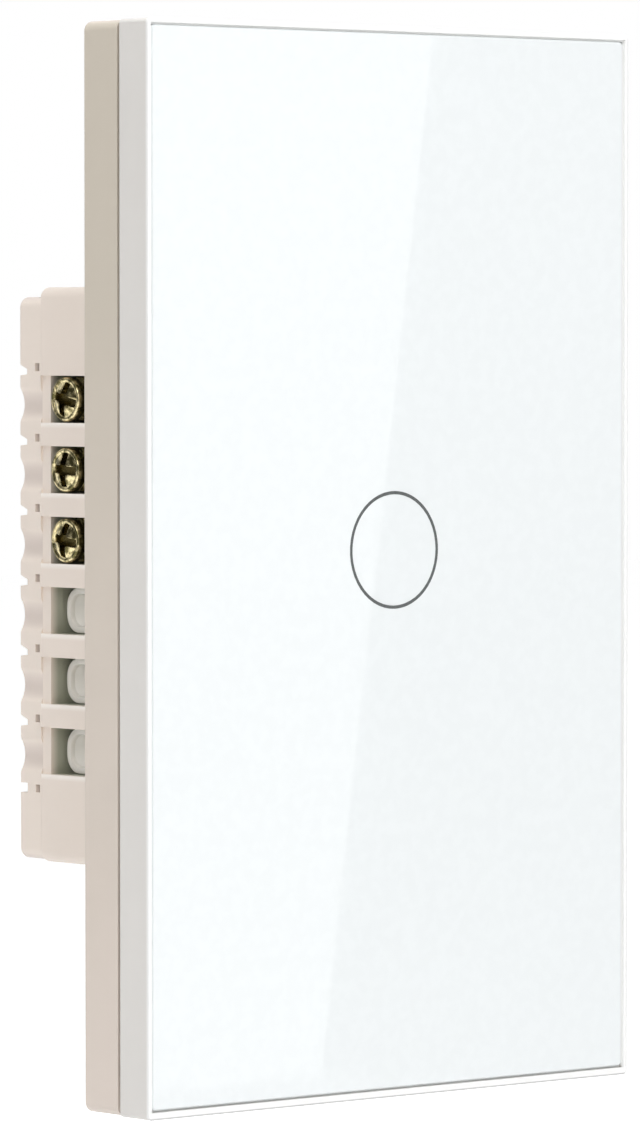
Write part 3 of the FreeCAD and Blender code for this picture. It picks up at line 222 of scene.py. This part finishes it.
def finish_piece(piece, body, finish, slot, *nodes):
    """Give the piece its finish and its body, and let it stand for the CAD nodes named."""
    piece.data.materials.clear()
    piece.data.materials.append(finish)
    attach(piece, body)
    if nodes:
        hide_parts(*nodes)


# Tools of the paint shop

def srgb(red, green, blue):
    """A colour as it shows on a screen, 0 to 255, for a shader."""
    def linear(level):
        level = level / 255
        return level / 12.92 if level <= 0.04045 else ((level + 0.055) / 1.055) ** 2.4
    return linear(red), linear(green), linear(blue)


def shade(colour, share):
    return tuple(level * share for level in colour)


def new_finish(name, colour, roughness, **sockets):
    made = bpy.data.materials.new(name)
    made.use_nodes = True
    shader = shader_of(made)
    shader.inputs["Base Color"].default_value = (*colour, 1)
    shader.inputs["Roughness"].default_value = roughness
    for socket, value in sockets.items():
        shader.inputs[socket.replace("_", " ")].default_value = value
    return made


def shader_of(finish):
    return finish.node_tree.nodes["Principled BSDF"]


def add_node(finish, kind, **settings):
    made = finish.node_tree.nodes.new("ShaderNode" + kind)
    for key, value in settings.items():
        setattr(made, key, value)
    return made


def join(finish, source, target):
    finish.node_tree.links.new(source, target)


def place_on_part(finish):
    return add_node(finish, "TexCoord").outputs["Object"]


def part_of_place(finish, place, axis):
    """A place's measure along one axis."""
    split = add_node(finish, "SeparateXYZ")
    join(finish, place, split.inputs[0])
    return split.outputs[axis]


def from_bay_axis(finish):
    """The place as seen from the axis of its bay, without its depth in the bay. All bays are alike,
    so each place is first wrapped into the top one."""
    axis = middle("terminal_screw_1")
    reach = Vector((1, 1, bay_pitch / 2))
    place = place_on_part(finish)
    for operation, values in (("WRAP", (axis + reach, axis - reach)), ("SUBTRACT", (axis,)),
                              ("MULTIPLY", ((0, 1, 1),))):
        step = add_node(finish, "VectorMath", operation=operation)
        join(finish, place, step.inputs[0])
        for socket, value in zip(step.inputs[1:], values):
            socket.default_value = value
        place = step.outputs["Vector"]
    return place


def grain(finish, size, stretch=(1, 1, 1), detail=2.0):
    """A noise over the piece whose grains are about this size in millimetres."""
    scaled = add_node(finish, "Mapping")
    scaled.inputs["Scale"].default_value = [share / (size * MM) for share in stretch]
    noise = add_node(finish, "TexNoise")
    noise.inputs["Scale"].default_value = 1.0
    noise.inputs["Detail"].default_value = detail
    join(finish, place_on_part(finish), scaled.inputs["Vector"])
    join(finish, scaled.outputs["Vector"], noise.inputs["Vector"])
    return noise.outputs["Fac"]


def stripes(finish, pitch, axis):
    """Even bands across the piece along an axis, a pitch apart in millimetres."""
    band_at_scale_one, waver = 0.314, 0.2
    bands = add_node(finish, "TexWave", wave_type="BANDS", bands_direction=axis)
    bands.inputs["Scale"].default_value = band_at_scale_one / (pitch * MM)
    bands.inputs["Distortion"].default_value = waver
    join(finish, place_on_part(finish), bands.inputs["Vector"])
    return bands.outputs["Fac"]


def levels(finish, source, low, high, start=0.3, end=0.7):
    """The source from start to end, spread from low to high. A noise lies mostly from 0.3 to 0.7."""
    spread = add_node(finish, "MapRange")
    for socket, value in (("From Min", start), ("From Max", end), ("To Min", low), ("To Max", high)):
        spread.inputs[socket].default_value = value
    join(finish, source, spread.inputs["Value"])
    return spread.outputs["Result"]


def fading(finish, source, fade, low=0, high=1):
    """The source, a length, spread from low to high over a fade, a pair of lengths in millimetres."""
    start, end = fade
    return levels(finish, source, low, high, start * MM, end * MM)


def along(finish, axis, place, fade):
    """0 on one side of a place on an axis of the part and 1 on the other. The fade is where the
    change starts and where it ends, both as distances from the place."""
    start, end = fade
    measure = part_of_place(finish, place_on_part(finish), axis)
    return fading(finish, measure, (place + start, place + end))


def overlap(finish, *masks):
    """Where all the masks meet."""
    result = masks[0]
    for mask in masks[1:]:
        product = add_node(finish, "Math", operation="MULTIPLY")
        join(finish, result, product.inputs[0])
        join(finish, mask, product.inputs[1])
        result = product.outputs[0]
    return result


def region(finish, *bounds):
    """1 within all the bounds, each an axis, a place on it and a fade."""
    return overlap(finish, *(along(finish, *bound) for bound in bounds))


def blend(finish, mask):
    """A mix of two colours by the mask: its two colour sockets and its result."""
    mix = add_node(finish, "Mix", data_type="RGBA")
    join(finish, mask, mix.inputs[0])
    first, second = (socket for socket in mix.inputs if socket.type == "RGBA")
    result = next(socket for socket in mix.outputs if socket.type == "RGBA")
    return first, second, result


def tint(finish, source, dark, light, start=0.3, end=0.7):
    """Colour the finish from dark to light by the source."""
    first, second, result = blend(finish, levels(finish, source, 0, 1, start, end))
    first.default_value = (*dark, 1)
    second.default_value = (*light, 1)
    join(finish, result, shader_of(finish).inputs["Base Color"])


def paint_light_and_shade(finish, mask, colour):
    """Lay a colour over the finish where the mask is 1. Every use paints light or shade onto the surface.
    """
    target = shader_of(finish).inputs["Base Color"]
    below, above, result = blend(finish, mask)
    join(finish, target.links[0].from_socket, below)
    above.default_value = (*colour, 1)
    join(finish, result, target)


def relief(finish, source, height):
    """Raise the surface by the source, in millimetres."""
    bump = add_node(finish, "Bump")
    bump.inputs["Strength"].default_value = 1.0
    bump.inputs["Distance"].default_value = height * MM
    join(finish, source, bump.inputs["Height"])
    previous = shader_of(finish).inputs["Normal"]
    if previous.is_linked:
        join(finish, previous.links[0].from_socket, bump.inputs["Normal"])
    join(finish, bump.outputs["Normal"], previous)


def polish(finish, source, low, high):
    """Vary the roughness between two values by the source."""
    join(finish, levels(finish, source, low, high), shader_of(finish).inputs["Roughness"])


def moulded(name, colour, roughness, grain_size=0.16, grain_height=0.006, cloud=0.03):
    """Moulded plastic: fine spark texture, slight clouding of the colour, uneven gloss."""
    cloud_size, gloss_size, gloss_change = 9.0, 2.4, 0.12
    made = new_finish(name, colour, roughness)
    tint(made, grain(made, cloud_size, detail=1.0), shade(colour, 1 - cloud), shade(colour, 1 + cloud / 2))
    polish(made, grain(made, gloss_size), roughness * (1 - gloss_change), roughness * (1 + gloss_change))
    relief(made, grain(made, grain_size), grain_height)
    return made


def metal(name, colour, roughness, scratch=0.12, stretch=(1, 1, 1)):
    """Metal with fine marks and an uneven tarnish."""
    tarnish_size, tarnish, mark_height = 1.1, 0.12, 0.003
    smoothest, roughest = 0.7 * roughness, 1.35 * roughness
    made = new_finish(name, colour, roughness, Metallic=1.0)
    tint(made, grain(made, tarnish_size, detail=3.0), shade(colour, 1 - tarnish), colour)
    polish(made, grain(made, scratch, stretch), smoothest, roughest)
    relief(made, grain(made, scratch * 2, stretch), mark_height)
    return made


# Finishes of the front

def make_frame_plastic():
    """Pale plastic, with a painted highlight on the narrow front rim round the glass and painted shade
    lines along the lower and right outer edges of that rim.
    """
    made = moulded("frame_plastic", srgb(224, 221, 217), roughness=0.34,
                   grain_size=0.14, grain_height=0.003, cloud=0.012)
    low, high = box_mm("panel_frame")
    rim = ("Y", low.y, (0.5, 0.2))
    foot = ("Z", low.z, (0.19, 0.14))
    right = ("X", high.x, (-0.2, -0.15))
    # Painted highlight: the front of the rim made whiter, as if lit from the front
    paint_light_and_shade(made, region(made, rim), srgb(243, 243, 242))
    # Painted shade: a grey line along the lower outer edge of the rim
    paint_light_and_shade(made, region(made, rim, foot), srgb(192, 192, 191))
    # Painted shade: a faint grey line along the right outer edge of the rim
    paint_light_and_shade(made, region(made, rim, right), srgb(226, 226, 226))
    return made


def make_panel_glass():
    """White painted glass: polished, with faint pale specks in the paint."""
    paint, contrast, speck_size = srgb(231, 235, 236), 0.008, 1.6
    made = new_finish("panel_glass", paint, roughness=0.012, IOR=1.5)
    tint(made, grain(made, speck_size), shade(paint, 1 - contrast), shade(paint, 1 + contrast),
         start=0.42, end=0.62)
    return made


def make_ring_print():
    """Grey ink, a little uneven."""
    made = new_finish("ring_print", srgb(80, 84, 84), roughness=0.25)
    tint(made, grain(made, size=0.5), srgb(74, 78, 78), srgb(86, 90, 90))
    return made


def make_tape():
    """Dark foam, rough all over."""
    made = new_finish("tape", srgb(60, 60, 60), roughness=0.9)
    tint(made, grain(made, size=0.3), srgb(44, 44, 44), srgb(76, 76, 76))
    relief(made, grain(made, size=0.25, detail=3.0), height=0.05)
    return made


# Finishes of the base, the housing and the terminals

def make_base_plastic():
    """Ivory plastic, with painted shade over the upper part of its left side and painted light near the
    foot of that side.
    """
    made = moulded("base_plastic", srgb(217, 206, 195), roughness=0.5,
                   grain_size=0.18, grain_height=0.008, cloud=0.02)
    low, high = box_mm("base_frame")
    below_top = high.z - 30 - low.z
    left = ("X", low.x, (0.6, 0.3))
    upper = ("Z", low.z, (40, below_top))
    foot = ("Z", low.z, (35, 3))
    # Painted shade: the upper part of the left side made darker
    paint_light_and_shade(made, region(made, left, upper), srgb(205, 196, 182))
    # Painted light: the foot of the left side made paler, as if lit from below
    paint_light_and_shade(made, region(made, left, foot), srgb(224, 212, 202))
    return made


# The two sides of the joint between the housing and its cover
IN_HOUSING = ("Y", cover_joint, (0.02, -0.02))
IN_COVER = ("Y", cover_joint, (-0.02, 0.02))


def shade_bays(finish):
    """A painted grey shade in the bays, from their mouths to a little past the cages."""
    foot, cage = box_mm("terminal_housing")[0], box_mm("terminal_cage_1")[1]
    mouth = ("X", housing_side, (0.62, 1.7))
    inner_end = ("X", cage.x, (2.5, 2.0))
    top = ("Z", cage.z, (0.5, 0.2))
    bottom = ("Z", foot.z, (9.4, 9.7))
    # Painted shade: the depth of the bays made grey-green
    paint_light_and_shade(finish, region(finish, mouth, inner_end, top, bottom, IN_HOUSING), srgb(176, 178, 161))


def shade_hollows(finish):
    """A faint painted shade in the hollows down the side of the cover."""
    back = box_mm("rear_cover")[1]
    mouth = ("X", housing_side, (0.5, 1.1))
    floor = ("X", housing_side, (1.6, 1.5))
    back_wall = ("Y", back.y, (-0.1, -0.3))
    # Painted shade: the floor of each hollow made darker
    paint_light_and_shade(finish, region(finish, mouth, floor, IN_COVER, back_wall), srgb(222, 209, 201))


def paint_bar_edge_highlights(finish):
    """A painted highlight on the upper edge of each bar between two bays, as if lit from above."""
    foot, cage = box_mm("terminal_housing")[0], box_mm("terminal_cage_1")[1]
    edge_starts, edge_ends = (-3.3, -2.9), (-2.6, -2.5)
    side = ("X", housing_side, (0.6, 0.4))
    front_end = ("Y", cage.y, (-7.1, -6.9))
    top = ("Z", cage.z, (0.5, 0.2))
    bottom = ("Z", foot.z, (9.1, 9.2))
    up = part_of_place(finish, from_bay_axis(finish), "Z")
    edge = overlap(finish, fading(finish, up, edge_starts), fading(finish, up, edge_ends, 1, 0))
    bars = region(finish, side, front_end, top, bottom, IN_HOUSING)
    # Painted highlight: a bright band along the top of each bar
    paint_light_and_shade(finish, overlap(finish, edge, bars), srgb(255, 248, 240))


def shade_latch_slots(finish):
    """Painted shade inside the small slots beside the joint of the cover."""
    mouth = ("X", housing_side, (1.0, 1.4))
    floor = ("X", housing_side, (2.6, 2.5))
    front_end = ("Y", cover_joint, (0.1, 0.2))
    back_end = ("Y", cover_joint, (1.4, 1.3))
    # Painted shade: the inside of each slot made dark
    paint_light_and_shade(finish, region(finish, mouth, floor, front_end, back_end), srgb(122, 108, 100))


def make_housing_plastic():
    """Warm white plastic, with painted shade in the bays, the hollows and the latch slots, and a painted
    highlight along the upper edges of the bars.
    """
    made = moulded("housing_plastic", srgb(243, 231, 220), roughness=0.46,
                   grain_size=0.18, grain_height=0.007, cloud=0.02)
    shade_bays(made)
    shade_hollows(made)
    paint_bar_edge_highlights(made)
    shade_latch_slots(made)
    return made


def make_clear_plastic():
    """Milky white plastic, glossy, with painted shade over the upper part of the bowl of each blank cap."""
    made = moulded("clear_plastic", srgb(249, 246, 240), roughness=0.22, grain_size=0.5, grain_height=0.002)
    upper_fade, lower_share = (-1.4, 0.6), 0.15
    mouth = ("X", housing_side, (2.58, 2.95))
    inner_end = ("X", housing_side, (6.0, 5.5))
    up = part_of_place(made, from_bay_axis(made), "Z")
    upper = fading(made, up, upper_fade, lower_share, 1)
    # Painted shade: the upper part of each bowl made greyer
    paint_light_and_shade(made, overlap(made, upper, region(made, mouth, inner_end)), srgb(226, 223, 214))
    return made


def make_brass(name):
    """Yellow plating over turned brass: glossy, with dark olive patches that stand partly for tarnish and
    partly for painted dark reflections.
    """
    patch_size, dent_size, mark_size = 0.8, 0.9, 0.25
    made = new_finish(name, srgb(214, 196, 146), roughness=0.2, Metallic=1.0)
    # Dark olive patches: partly tarnish, partly painted dark reflections
    tint(made, grain(made, patch_size, detail=3.0), srgb(98, 92, 58), srgb(222, 208, 162),
         start=0.42, end=0.58)
    polish(made, grain(made, mark_size), low=0.12, high=0.3)
    relief(made, grain(made, dent_size, detail=1.0), height=0.03)
    relief(made, grain(made, mark_size), height=0.004)
    return made


def make_screw_brass():
    """The same brass, with painted shade in the slots and over the middle of the heads."""
    made = make_brass("screw_brass")
    face = box_mm("terminal_screw_1")[0].x
    head_shade_fade, head_shade_share = (1.55, 1.95), 0.85
    head_shade_spread, spread_size = 1.4, 0.9
    slots = ("X", face, (0.62, 0.95))
    radius = add_node(made, "VectorMath", operation="LENGTH")
    join(made, from_bay_axis(made), radius.inputs[0])
    uneven = add_node(made, "Math", operation="MULTIPLY_ADD")
    join(made, grain(made, spread_size), uneven.inputs[0])
    uneven.inputs[1].default_value = head_shade_spread * MM
    join(made, radius.outputs["Value"], uneven.inputs[2])
    # Painted shade: the middle of each head made dark, with an uneven edge
    paint_light_and_shade(made, fading(made, uneven.outputs[0], head_shade_fade, head_shade_share, 0), srgb(58, 50, 28))
    # Painted shade: the slots made dark
    paint_light_and_shade(made, region(made, slots), srgb(84, 74, 40))
    return made


# Finishes of the boards and what they carry

def make_board():
    """Green board: tracks under the solder mask as a faint raised net."""
    cells_per_metre, track_start, track_end, mask_end = 420.0, 0.28, 0.34, 0.42
    made = new_finish("board", srgb(26, 92, 50), roughness=0.3)
    cells = add_node(made, "TexVoronoi", distance="CHEBYCHEV", feature="F1")
    cells.inputs["Scale"].default_value = cells_per_metre
    join(made, place_on_part(made), cells.inputs["Vector"])
    net = cells.outputs["Distance"]
    tint(made, net, srgb(34, 118, 64), srgb(22, 78, 42), track_start, mask_end)
    relief(made, levels(made, net, 1, 0, track_start, track_end), height=0.02)
    return made


def make_coil_copper():
    """Enamelled wire, laid turn by turn."""
    made = new_finish("coil_copper", srgb(190, 104, 60), roughness=0.28, Metallic=1.0, Coat_Weight=0.6)
    turns = stripes(made, pitch=0.2, axis="Z")
    tint(made, turns, srgb(126, 60, 32), srgb(206, 120, 72), start=0.0, end=1.0)
    relief(made, turns, height=0.05)
    return made


def make_winding_tape():
    """Yellow tape, lap over lap."""
    made = new_finish("winding_tape", srgb(228, 196, 66), roughness=0.22, Coat_Weight=0.3)
    laps = stripes(made, pitch=2.2, axis="Y")
    tint(made, laps, srgb(206, 170, 48), srgb(236, 206, 82), start=0.0, end=0.25)
    relief(made, laps, height=0.03)
    return made


def make_can():
    """Dark blue sleeve, shrunk over a can."""
    made = new_finish("can", srgb(48, 54, 84), roughness=0.24)
    tint(made, grain(made, size=3.0), srgb(40, 46, 74), srgb(58, 64, 96))
    relief(made, grain(made, size=0.8), height=0.01)
    return made


def make_fuse_glass():
    """Glass tube, with wide pale bands across it."""
    made = new_finish("fuse_glass", srgb(214, 220, 220), roughness=0.06, IOR=1.5)
    tint(made, stripes(made, pitch=9.0, axis="Z"), srgb(196, 200, 198), srgb(226, 232, 232),
         start=0.3, end=0.6)
    return made


def make_ferrite():
    """Sintered core, matt and rough."""
    made = new_finish("ferrite", srgb(52, 52, 54), roughness=0.55)
    tint(made, grain(made, size=0.2, detail=4.0), srgb(38, 38, 40), srgb(70, 70, 72))
    relief(made, grain(made, size=0.2, detail=4.0), height=0.02)
    return made


def make_finishes():
    """Each finish by its name. Every material slot of the record has the name of one."""
    return {
        "frame_plastic": make_frame_plastic(),
        "panel_glass": make_panel_glass(),
        "ring_print": make_ring_print(),
        "seal": moulded("seal", srgb(226, 227, 226), roughness=0.4, grain_size=0.5, grain_height=0.004),
        "tape": make_tape(),
        "base_plastic": make_base_plastic(),
        "housing_plastic": make_housing_plastic(),
        "brass": make_brass("brass"),
        "screw_brass": make_screw_brass(),
        "plated_steel": metal("plated_steel", srgb(206, 208, 210), roughness=0.24),
        "board": make_board(),
        "black_plastic": moulded("black_plastic", srgb(42, 42, 44), roughness=0.42),
        "relay_plastic": moulded("relay_plastic", srgb(44, 92, 152), roughness=0.26,
                                 grain_size=0.3, grain_height=0.004),
        "coil_copper": make_coil_copper(),
        "copper": metal("copper", srgb(212, 134, 98), roughness=0.22),
        "clear_plastic": make_clear_plastic(),
        "lamp": moulded("lamp", srgb(232, 236, 214), roughness=0.2, grain_size=0.2, grain_height=0.004),
        "chip": moulded("chip", srgb(36, 36, 38), roughness=0.5, grain_size=0.12, grain_height=0.006),
        "shield": metal("shield", srgb(204, 206, 206), roughness=0.3, scratch=0.2, stretch=(0.1, 1, 1)),
        "yellow_plastic": moulded("yellow_plastic", srgb(226, 184, 56), roughness=0.28),
        "can": make_can(),
        "varistor_blue": moulded("varistor_blue", srgb(44, 82, 150), roughness=0.25,
                                 grain_size=1.2, grain_height=0.03),
        "fuse_glass": make_fuse_glass(),
        "ferrite": make_ferrite(),
        "winding_tape": make_winding_tape(),
    }


finishes = make_finishes()


def dress_cad_nodes():
    """Every CAD node gets the finish of its slot."""
    for row in frame["record"]["subparts"]:
        node = frame["nodes"][row["node"]]
        if not node.material_slots:
            node.data.materials.append(None)
        for holder in node.material_slots:
            holder.material = finishes[row["material_slot"]]


# The moulded pieces, with the soft edges that a mould gives

def make_panel_frame():
    """The frame of the glass, rounded most along the front of its rim."""
    edge, rim_depth = 0.16 * MM, 1 * MM
    piece = casting("panel_frame", "panel_frame_moulding")
    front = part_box("panel_frame")[0].y
    soften(piece, edge, lambda at: at.y > front + rim_depth)
    finish_piece(piece, "panel", finishes["frame_plastic"], "frame_plastic", "panel_frame")


def make_glass():
    """The glass plate, its sharp edges just broken."""
    edge = 0.05 * MM
    piece = casting("glass_panel", "glass_plate")
    soften(piece, edge)
    finish_piece(piece, "panel", finishes["panel_glass"], "panel_glass", "glass_panel")


def make_base():
    """The base, rounded most along its two long sides."""
    edge, skin = 0.28 * MM, 0.5 * MM
    piece = casting("base_frame", "base_moulding")
    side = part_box("base_frame")[1].x
    soften(piece, edge, lambda at: abs(at.x) < side - skin, share=0.25)
    finish_piece(piece, "base", finishes["base_plastic"], "base_plastic", "base_frame")


def make_housing():
    """The housing, rounded most round the mouths of its bays."""
    edge, skin = 0.4 * MM, 0.3 * MM
    piece = casting("terminal_housing", "housing_moulding")
    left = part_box("terminal_housing")[0].x
    soften(piece, edge, lambda at: at.x > left + skin, share=0.3)
    finish_piece(piece, "base", finishes["housing_plastic"], "housing_plastic", "terminal_housing")


def make_cover():
    """The cover, rounded most round its back."""
    edge, wall_depth = 0.22 * MM, 3.8 * MM
    piece = casting("rear_cover", "cover_moulding")
    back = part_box("rear_cover")[1].y
    soften(piece, edge, lambda at: at.y < back - wall_depth, share=0.25)
    finish_piece(piece, "base", finishes["housing_plastic"], "housing_plastic", "rear_cover")


def make_seal_bead():
    """Pale glue in the gap between the glass and its frame, sunk deeper at the foot."""
    rim, foot, spare = 0.5 * MM, 0.8 * MM, 1 * MM
    bite, gap = 0.01 * MM, 0.01 * MM
    sunk, foot_sunk = 0.14 * MM, 0.5 * MM
    (glass_low, glass_high), (frame_low, frame_high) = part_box("glass_panel"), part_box("panel_frame")
    low = (frame_low.x + rim - bite, glass_low.y + sunk, frame_low.z + foot - bite)
    high = (frame_high.x - rim + bite, glass_high.y, frame_high.z - rim + bite)
    piece = block("seal_bead", low, high)
    cut_out(piece, block("glass_room", (glass_low.x - gap, low[1] - spare, glass_low.z - gap),
                         (glass_high.x + gap, high[1] + spare, glass_high.z + gap)))
    cut_out(piece, block("foot_room", (frame_low.x, low[1] - spare, frame_low.z),
                         (frame_high.x, glass_low.y + foot_sunk, glass_low.z)))
    finish_piece(piece, "panel", finishes["seal"], "frame_plastic")


def make_blank_caps():
    """White caps with a slightly squared rim, over the cups of the three bays that have no screw."""
    front, outer, wall, corner = housing_side + 2.5, 2.63, 0.8, 2.1
    cap = turned("cap", [(front + 3.2, outer - 0.02), (front + 0.28, outer), (front + 0.08, outer - 0.1),
                         (front, outer - 0.26), (front + 0.06, outer - wall + 0.08),
                         (front + 0.36, outer - wall), (front + 0.58, 1.75), (front + 0.74, 1.4),
                         (front + 0.85, 1.0), (front + 0.92, 0.5), (front + 0.94, 0.02)], corner)
    axis, lowest = middle("terminal_screw_1").y, middle("terminal_cage_3").z
    for number in BLANK_BAYS:
        piece = twin(cap, "blank_cap_%d" % number, (0, axis, lowest - number * bay_pitch))
        smooth(piece)
        finish_piece(piece, "base", finishes["clear_plastic"], "clear_plastic")
    discard(cap)


# The metal of the terminals and of the cover

SCREW_SHANK = 1.45
THREAD_ROOT = 1.16
THREAD_CREST = 1.43
THREAD_PITCH = 0.5


def make_thread(start, end):
    """The thread of a screw on the X axis, between two places on it."""
    radius, steps, clearance = 0.19, 24, 0.1
    bpy.ops.object.select_all(action="DESELECT")
    bpy.ops.mesh.primitive_circle_add(vertices=3, radius=radius * MM, fill_type="NOTHING",
                                      location=((start + clearance) * MM, 0, (THREAD_CREST - radius) * MM),
                                      rotation=(QUARTER_TURN, 0, 0))
    thread = added("thread")
    turns = int((end - start - 2 * clearance) / THREAD_PITCH)
    modify(thread, "SCREW", axis="X", steps=steps, render_steps=steps, iterations=turns,
           screw_offset=THREAD_PITCH * MM)
    edit(thread)
    bpy.ops.mesh.select_non_manifold()
    bpy.ops.mesh.edge_face_add()
    face_outwards()
    leave_edit()
    return thread


def make_head_rim(face):
    """The raised rim round a screw's head, where the slots end."""
    rim = turned("rim", [(face + 1.45, 2.5), (face + 0.5, 2.52), (face + 0.36, 2.44), (face + 0.3, 2.3),
                         (face + 0.34, 2.0), (face + 0.5, 1.86), (face + 1.0, 1.82)])
    smooth(rim, degrees=50)
    return rim


def thin_shank(piece, axis, start, end):
    """Take the shank down to the root of its thread, between two places along it."""
    spare_start, spare_end = 0.05, 0.3
    narrowest, widest = SCREW_SHANK - 0.05, SCREW_SHANK + 0.02
    edit(piece)
    shape = bmesh.from_edit_mesh(piece.data)
    for vertex in shape.verts:
        radius = math.hypot(vertex.co.y - axis.y, vertex.co.z - axis.z) / MM
        on_shank = start - spare_start < vertex.co.x / MM < end + spare_end
        vertex.select_set(on_shank and narrowest < radius < widest)
    shape.select_flush(True)
    bmesh.update_edit_mesh(piece.data)
    share = THREAD_ROOT / SCREW_SHANK
    bpy.ops.transform.resize(value=(1, share, share), center_override=axis)
    leave_edit()


def make_terminal_screws():
    """The brass screws, with soft edges, a raised rim and a cut thread on the shank."""
    edge, head_height, shoulder_gap = 0.11 * MM, 1.53, 0.1
    face = box_mm("terminal_screw_1")[0].x
    under_head = face + head_height
    shoulder = box_mm("clamp_plate_1")[0].x - shoulder_gap
    thread, rim = make_thread(under_head, shoulder), make_head_rim(face)
    for number in TERMINALS:
        node = "terminal_screw_%d" % number
        axis = Vector((0, *middle(node).yz))
        piece = casting(node, "screw_%d_turned" % number)
        thin_shank(piece, axis, under_head, shoulder)
        soften(piece, edge)
        whole = merged("screw_%d_with_thread" % number, piece, twin(thread, "thread_copy", axis),
                       twin(rim, "rim_copy", axis))
        finish_piece(whole, "screw_%d" % number, finishes["screw_brass"], "brass", node)
    discard(thread, rim)


def make_terminal_metal():
    """Cages and clamp plates with the edges that a press leaves."""
    cage_edge, plate_edge = 0.1 * MM, 0.06 * MM
    for number in TERMINALS:
        cage = "terminal_cage_%d" % number
        piece = casting(cage, "cage_%d_pressed" % number)
        soften(piece, cage_edge)
        finish_piece(piece, "base", finishes["brass"], "brass", cage)
        plate = "clamp_plate_%d" % number
        piece = casting(plate, "clamp_%d_pressed" % number)
        soften(piece, plate_edge, segments=2)
        finish_piece(piece, "clamp_%d" % number, finishes["plated_steel"], "plated_steel", plate)


def make_rear_screws():
    """The screws of the cover, their sharp edges broken."""
    edge = 0.1 * MM
    piece = casting("rear_screws", "rear_screws_turned")
    soften(piece, edge)
    finish_piece(piece, "base", finishes["plated_steel"], "plated_steel", "rear_screws")


# Stage: room, floor, lamps and camera, in metres, degrees and watts

FLOOR_LEVEL = -0.14
FLOOR_SIZE = 6.0

# The name, place, side and power of each soft lamp
LAMPS = (("key", (-0.24, -0.92, 0.80), 0.7, 8.8),
         ("fill", (-0.85, -0.35, 0.55), 0.5, 2.2),
         ("top", (-0.10, 0.15, 0.95), 0.4, 3.2))
CARD_PLACE = (0.4247, -0.581, -0.0149)
CARD_SIZE = (0.16, 0.42)
CARD_TILT = 8.2
CARD_POWER = 0.23

DARK_CORNER = (-0.94, 0.34, 0)

CAMERA_PLACE = (-0.50893, -0.58069, 0.02600)
CAMERA_TURN = 41.151
CAMERA_DIP = 1.985
CAMERA_LENS = 216.2
SENSOR_HEIGHT = 36.0


def seen_directly(finish):
    """1 for rays from the camera, off polished surfaces and through clear ones."""
    rays = add_node(finish, "LightPath")
    seen = rays.outputs["Is Camera Ray"]
    for kind in ("Is Glossy Ray", "Is Transmission Ray"):
        either = add_node(finish, "Math", operation="MAXIMUM")
        join(finish, seen, either.inputs[0])
        join(finish, rays.outputs[kind], either.inputs[1])
        seen = either.outputs[0]
    return seen


def make_world():
    """Soft white room: white to look at, dimmer as light, with a dark corner that the screws mirror."""
    room_light, corner_light, corner_start, corner_end = 0.40, 0.22, 0.57, 0.87
    world = bpy.data.worlds.new("white_room")
    bpy.context.scene.world = world
    world.use_nodes = True
    room = world.node_tree.nodes["Background"]
    strength = levels(world, seen_directly(world), room_light, 1.0, 0, 1)
    toward = add_node(world, "VectorMath", operation="DOT_PRODUCT")
    join(world, add_node(world, "TexCoord").outputs["Generated"], toward.inputs[0])
    toward.inputs[1].default_value = Vector(DARK_CORNER).normalized()
    corner = overlap(world, levels(world, toward.outputs["Value"], 0, 1, corner_start, corner_end),
                     add_node(world, "LightPath").outputs["Is Glossy Ray"])
    darkened = overlap(world, strength, levels(world, corner, 1, corner_light, 0, 1))
    room.inputs["Color"].default_value = (1, 1, 1, 1)
    join(world, darkened, room.inputs["Strength"])


def make_floor():
    """White paper, which glows a little where it is looked at."""
    paper_white, glow = (0.86, 0.86, 0.86), 0.6
    bpy.ops.object.select_all(action="DESELECT")
    bpy.ops.mesh.primitive_plane_add(size=FLOOR_SIZE, location=(0, 0, FLOOR_LEVEL))
    floor = added("floor")
    paper = new_finish("white_paper", paper_white, roughness=0.9)
    shader = shader_of(paper)
    shader.inputs["Emission Color"].default_value = (1, 1, 1, 1)
    join(paper, levels(paper, seen_directly(paper), 0, glow, 0, 1), shader.inputs["Emission Strength"])
    floor.data.materials.append(paper)


def add_area_light(name, place, turn, size, power):
    lamp = bpy.data.lights.new(name, "AREA")
    lamp.shape = "RECTANGLE"
    lamp.size, lamp.size_y = size
    lamp.energy = power
    holder = bpy.data.objects.new(name, lamp)
    bpy.context.scene.collection.objects.link(holder)
    holder.location = place
    holder.rotation_euler = turn


def make_lights():
    """Soft lamps from the front, the left and above, and a card that the glass mirrors."""
    for name, place, size, power in LAMPS:
        turn = (-Vector(place)).to_track_quat("-Z", "Y").to_euler()
        add_area_light(name, place, turn, (size, size), power)
    card_turn = (QUARTER_TURN, math.radians(CARD_TILT), 0)
    add_area_light("card", CARD_PLACE, card_turn, CARD_SIZE, CARD_POWER)


def make_camera():
    lens = bpy.data.cameras.new("camera")
    lens.sensor_fit = "VERTICAL"
    lens.sensor_height = SENSOR_HEIGHT
    lens.lens = CAMERA_LENS
    holder = bpy.data.objects.new("camera", lens)
    bpy.context.scene.collection.objects.link(holder)
    holder.location = CAMERA_PLACE
    holder.rotation_euler = (QUARTER_TURN - math.radians(CAMERA_DIP), 0, math.radians(-CAMERA_TURN))
    bpy.context.scene.camera = holder


dress_cad_nodes()
make_panel_frame()
make_glass()
make_base()
make_housing()
make_cover()
make_seal_bead()
make_terminal_screws()
make_terminal_metal()
make_blank_caps()
make_rear_screws()
make_world()
make_floor()
make_lights()
make_camera()
bpy.context.scene.view_settings.view_transform = "Standard"
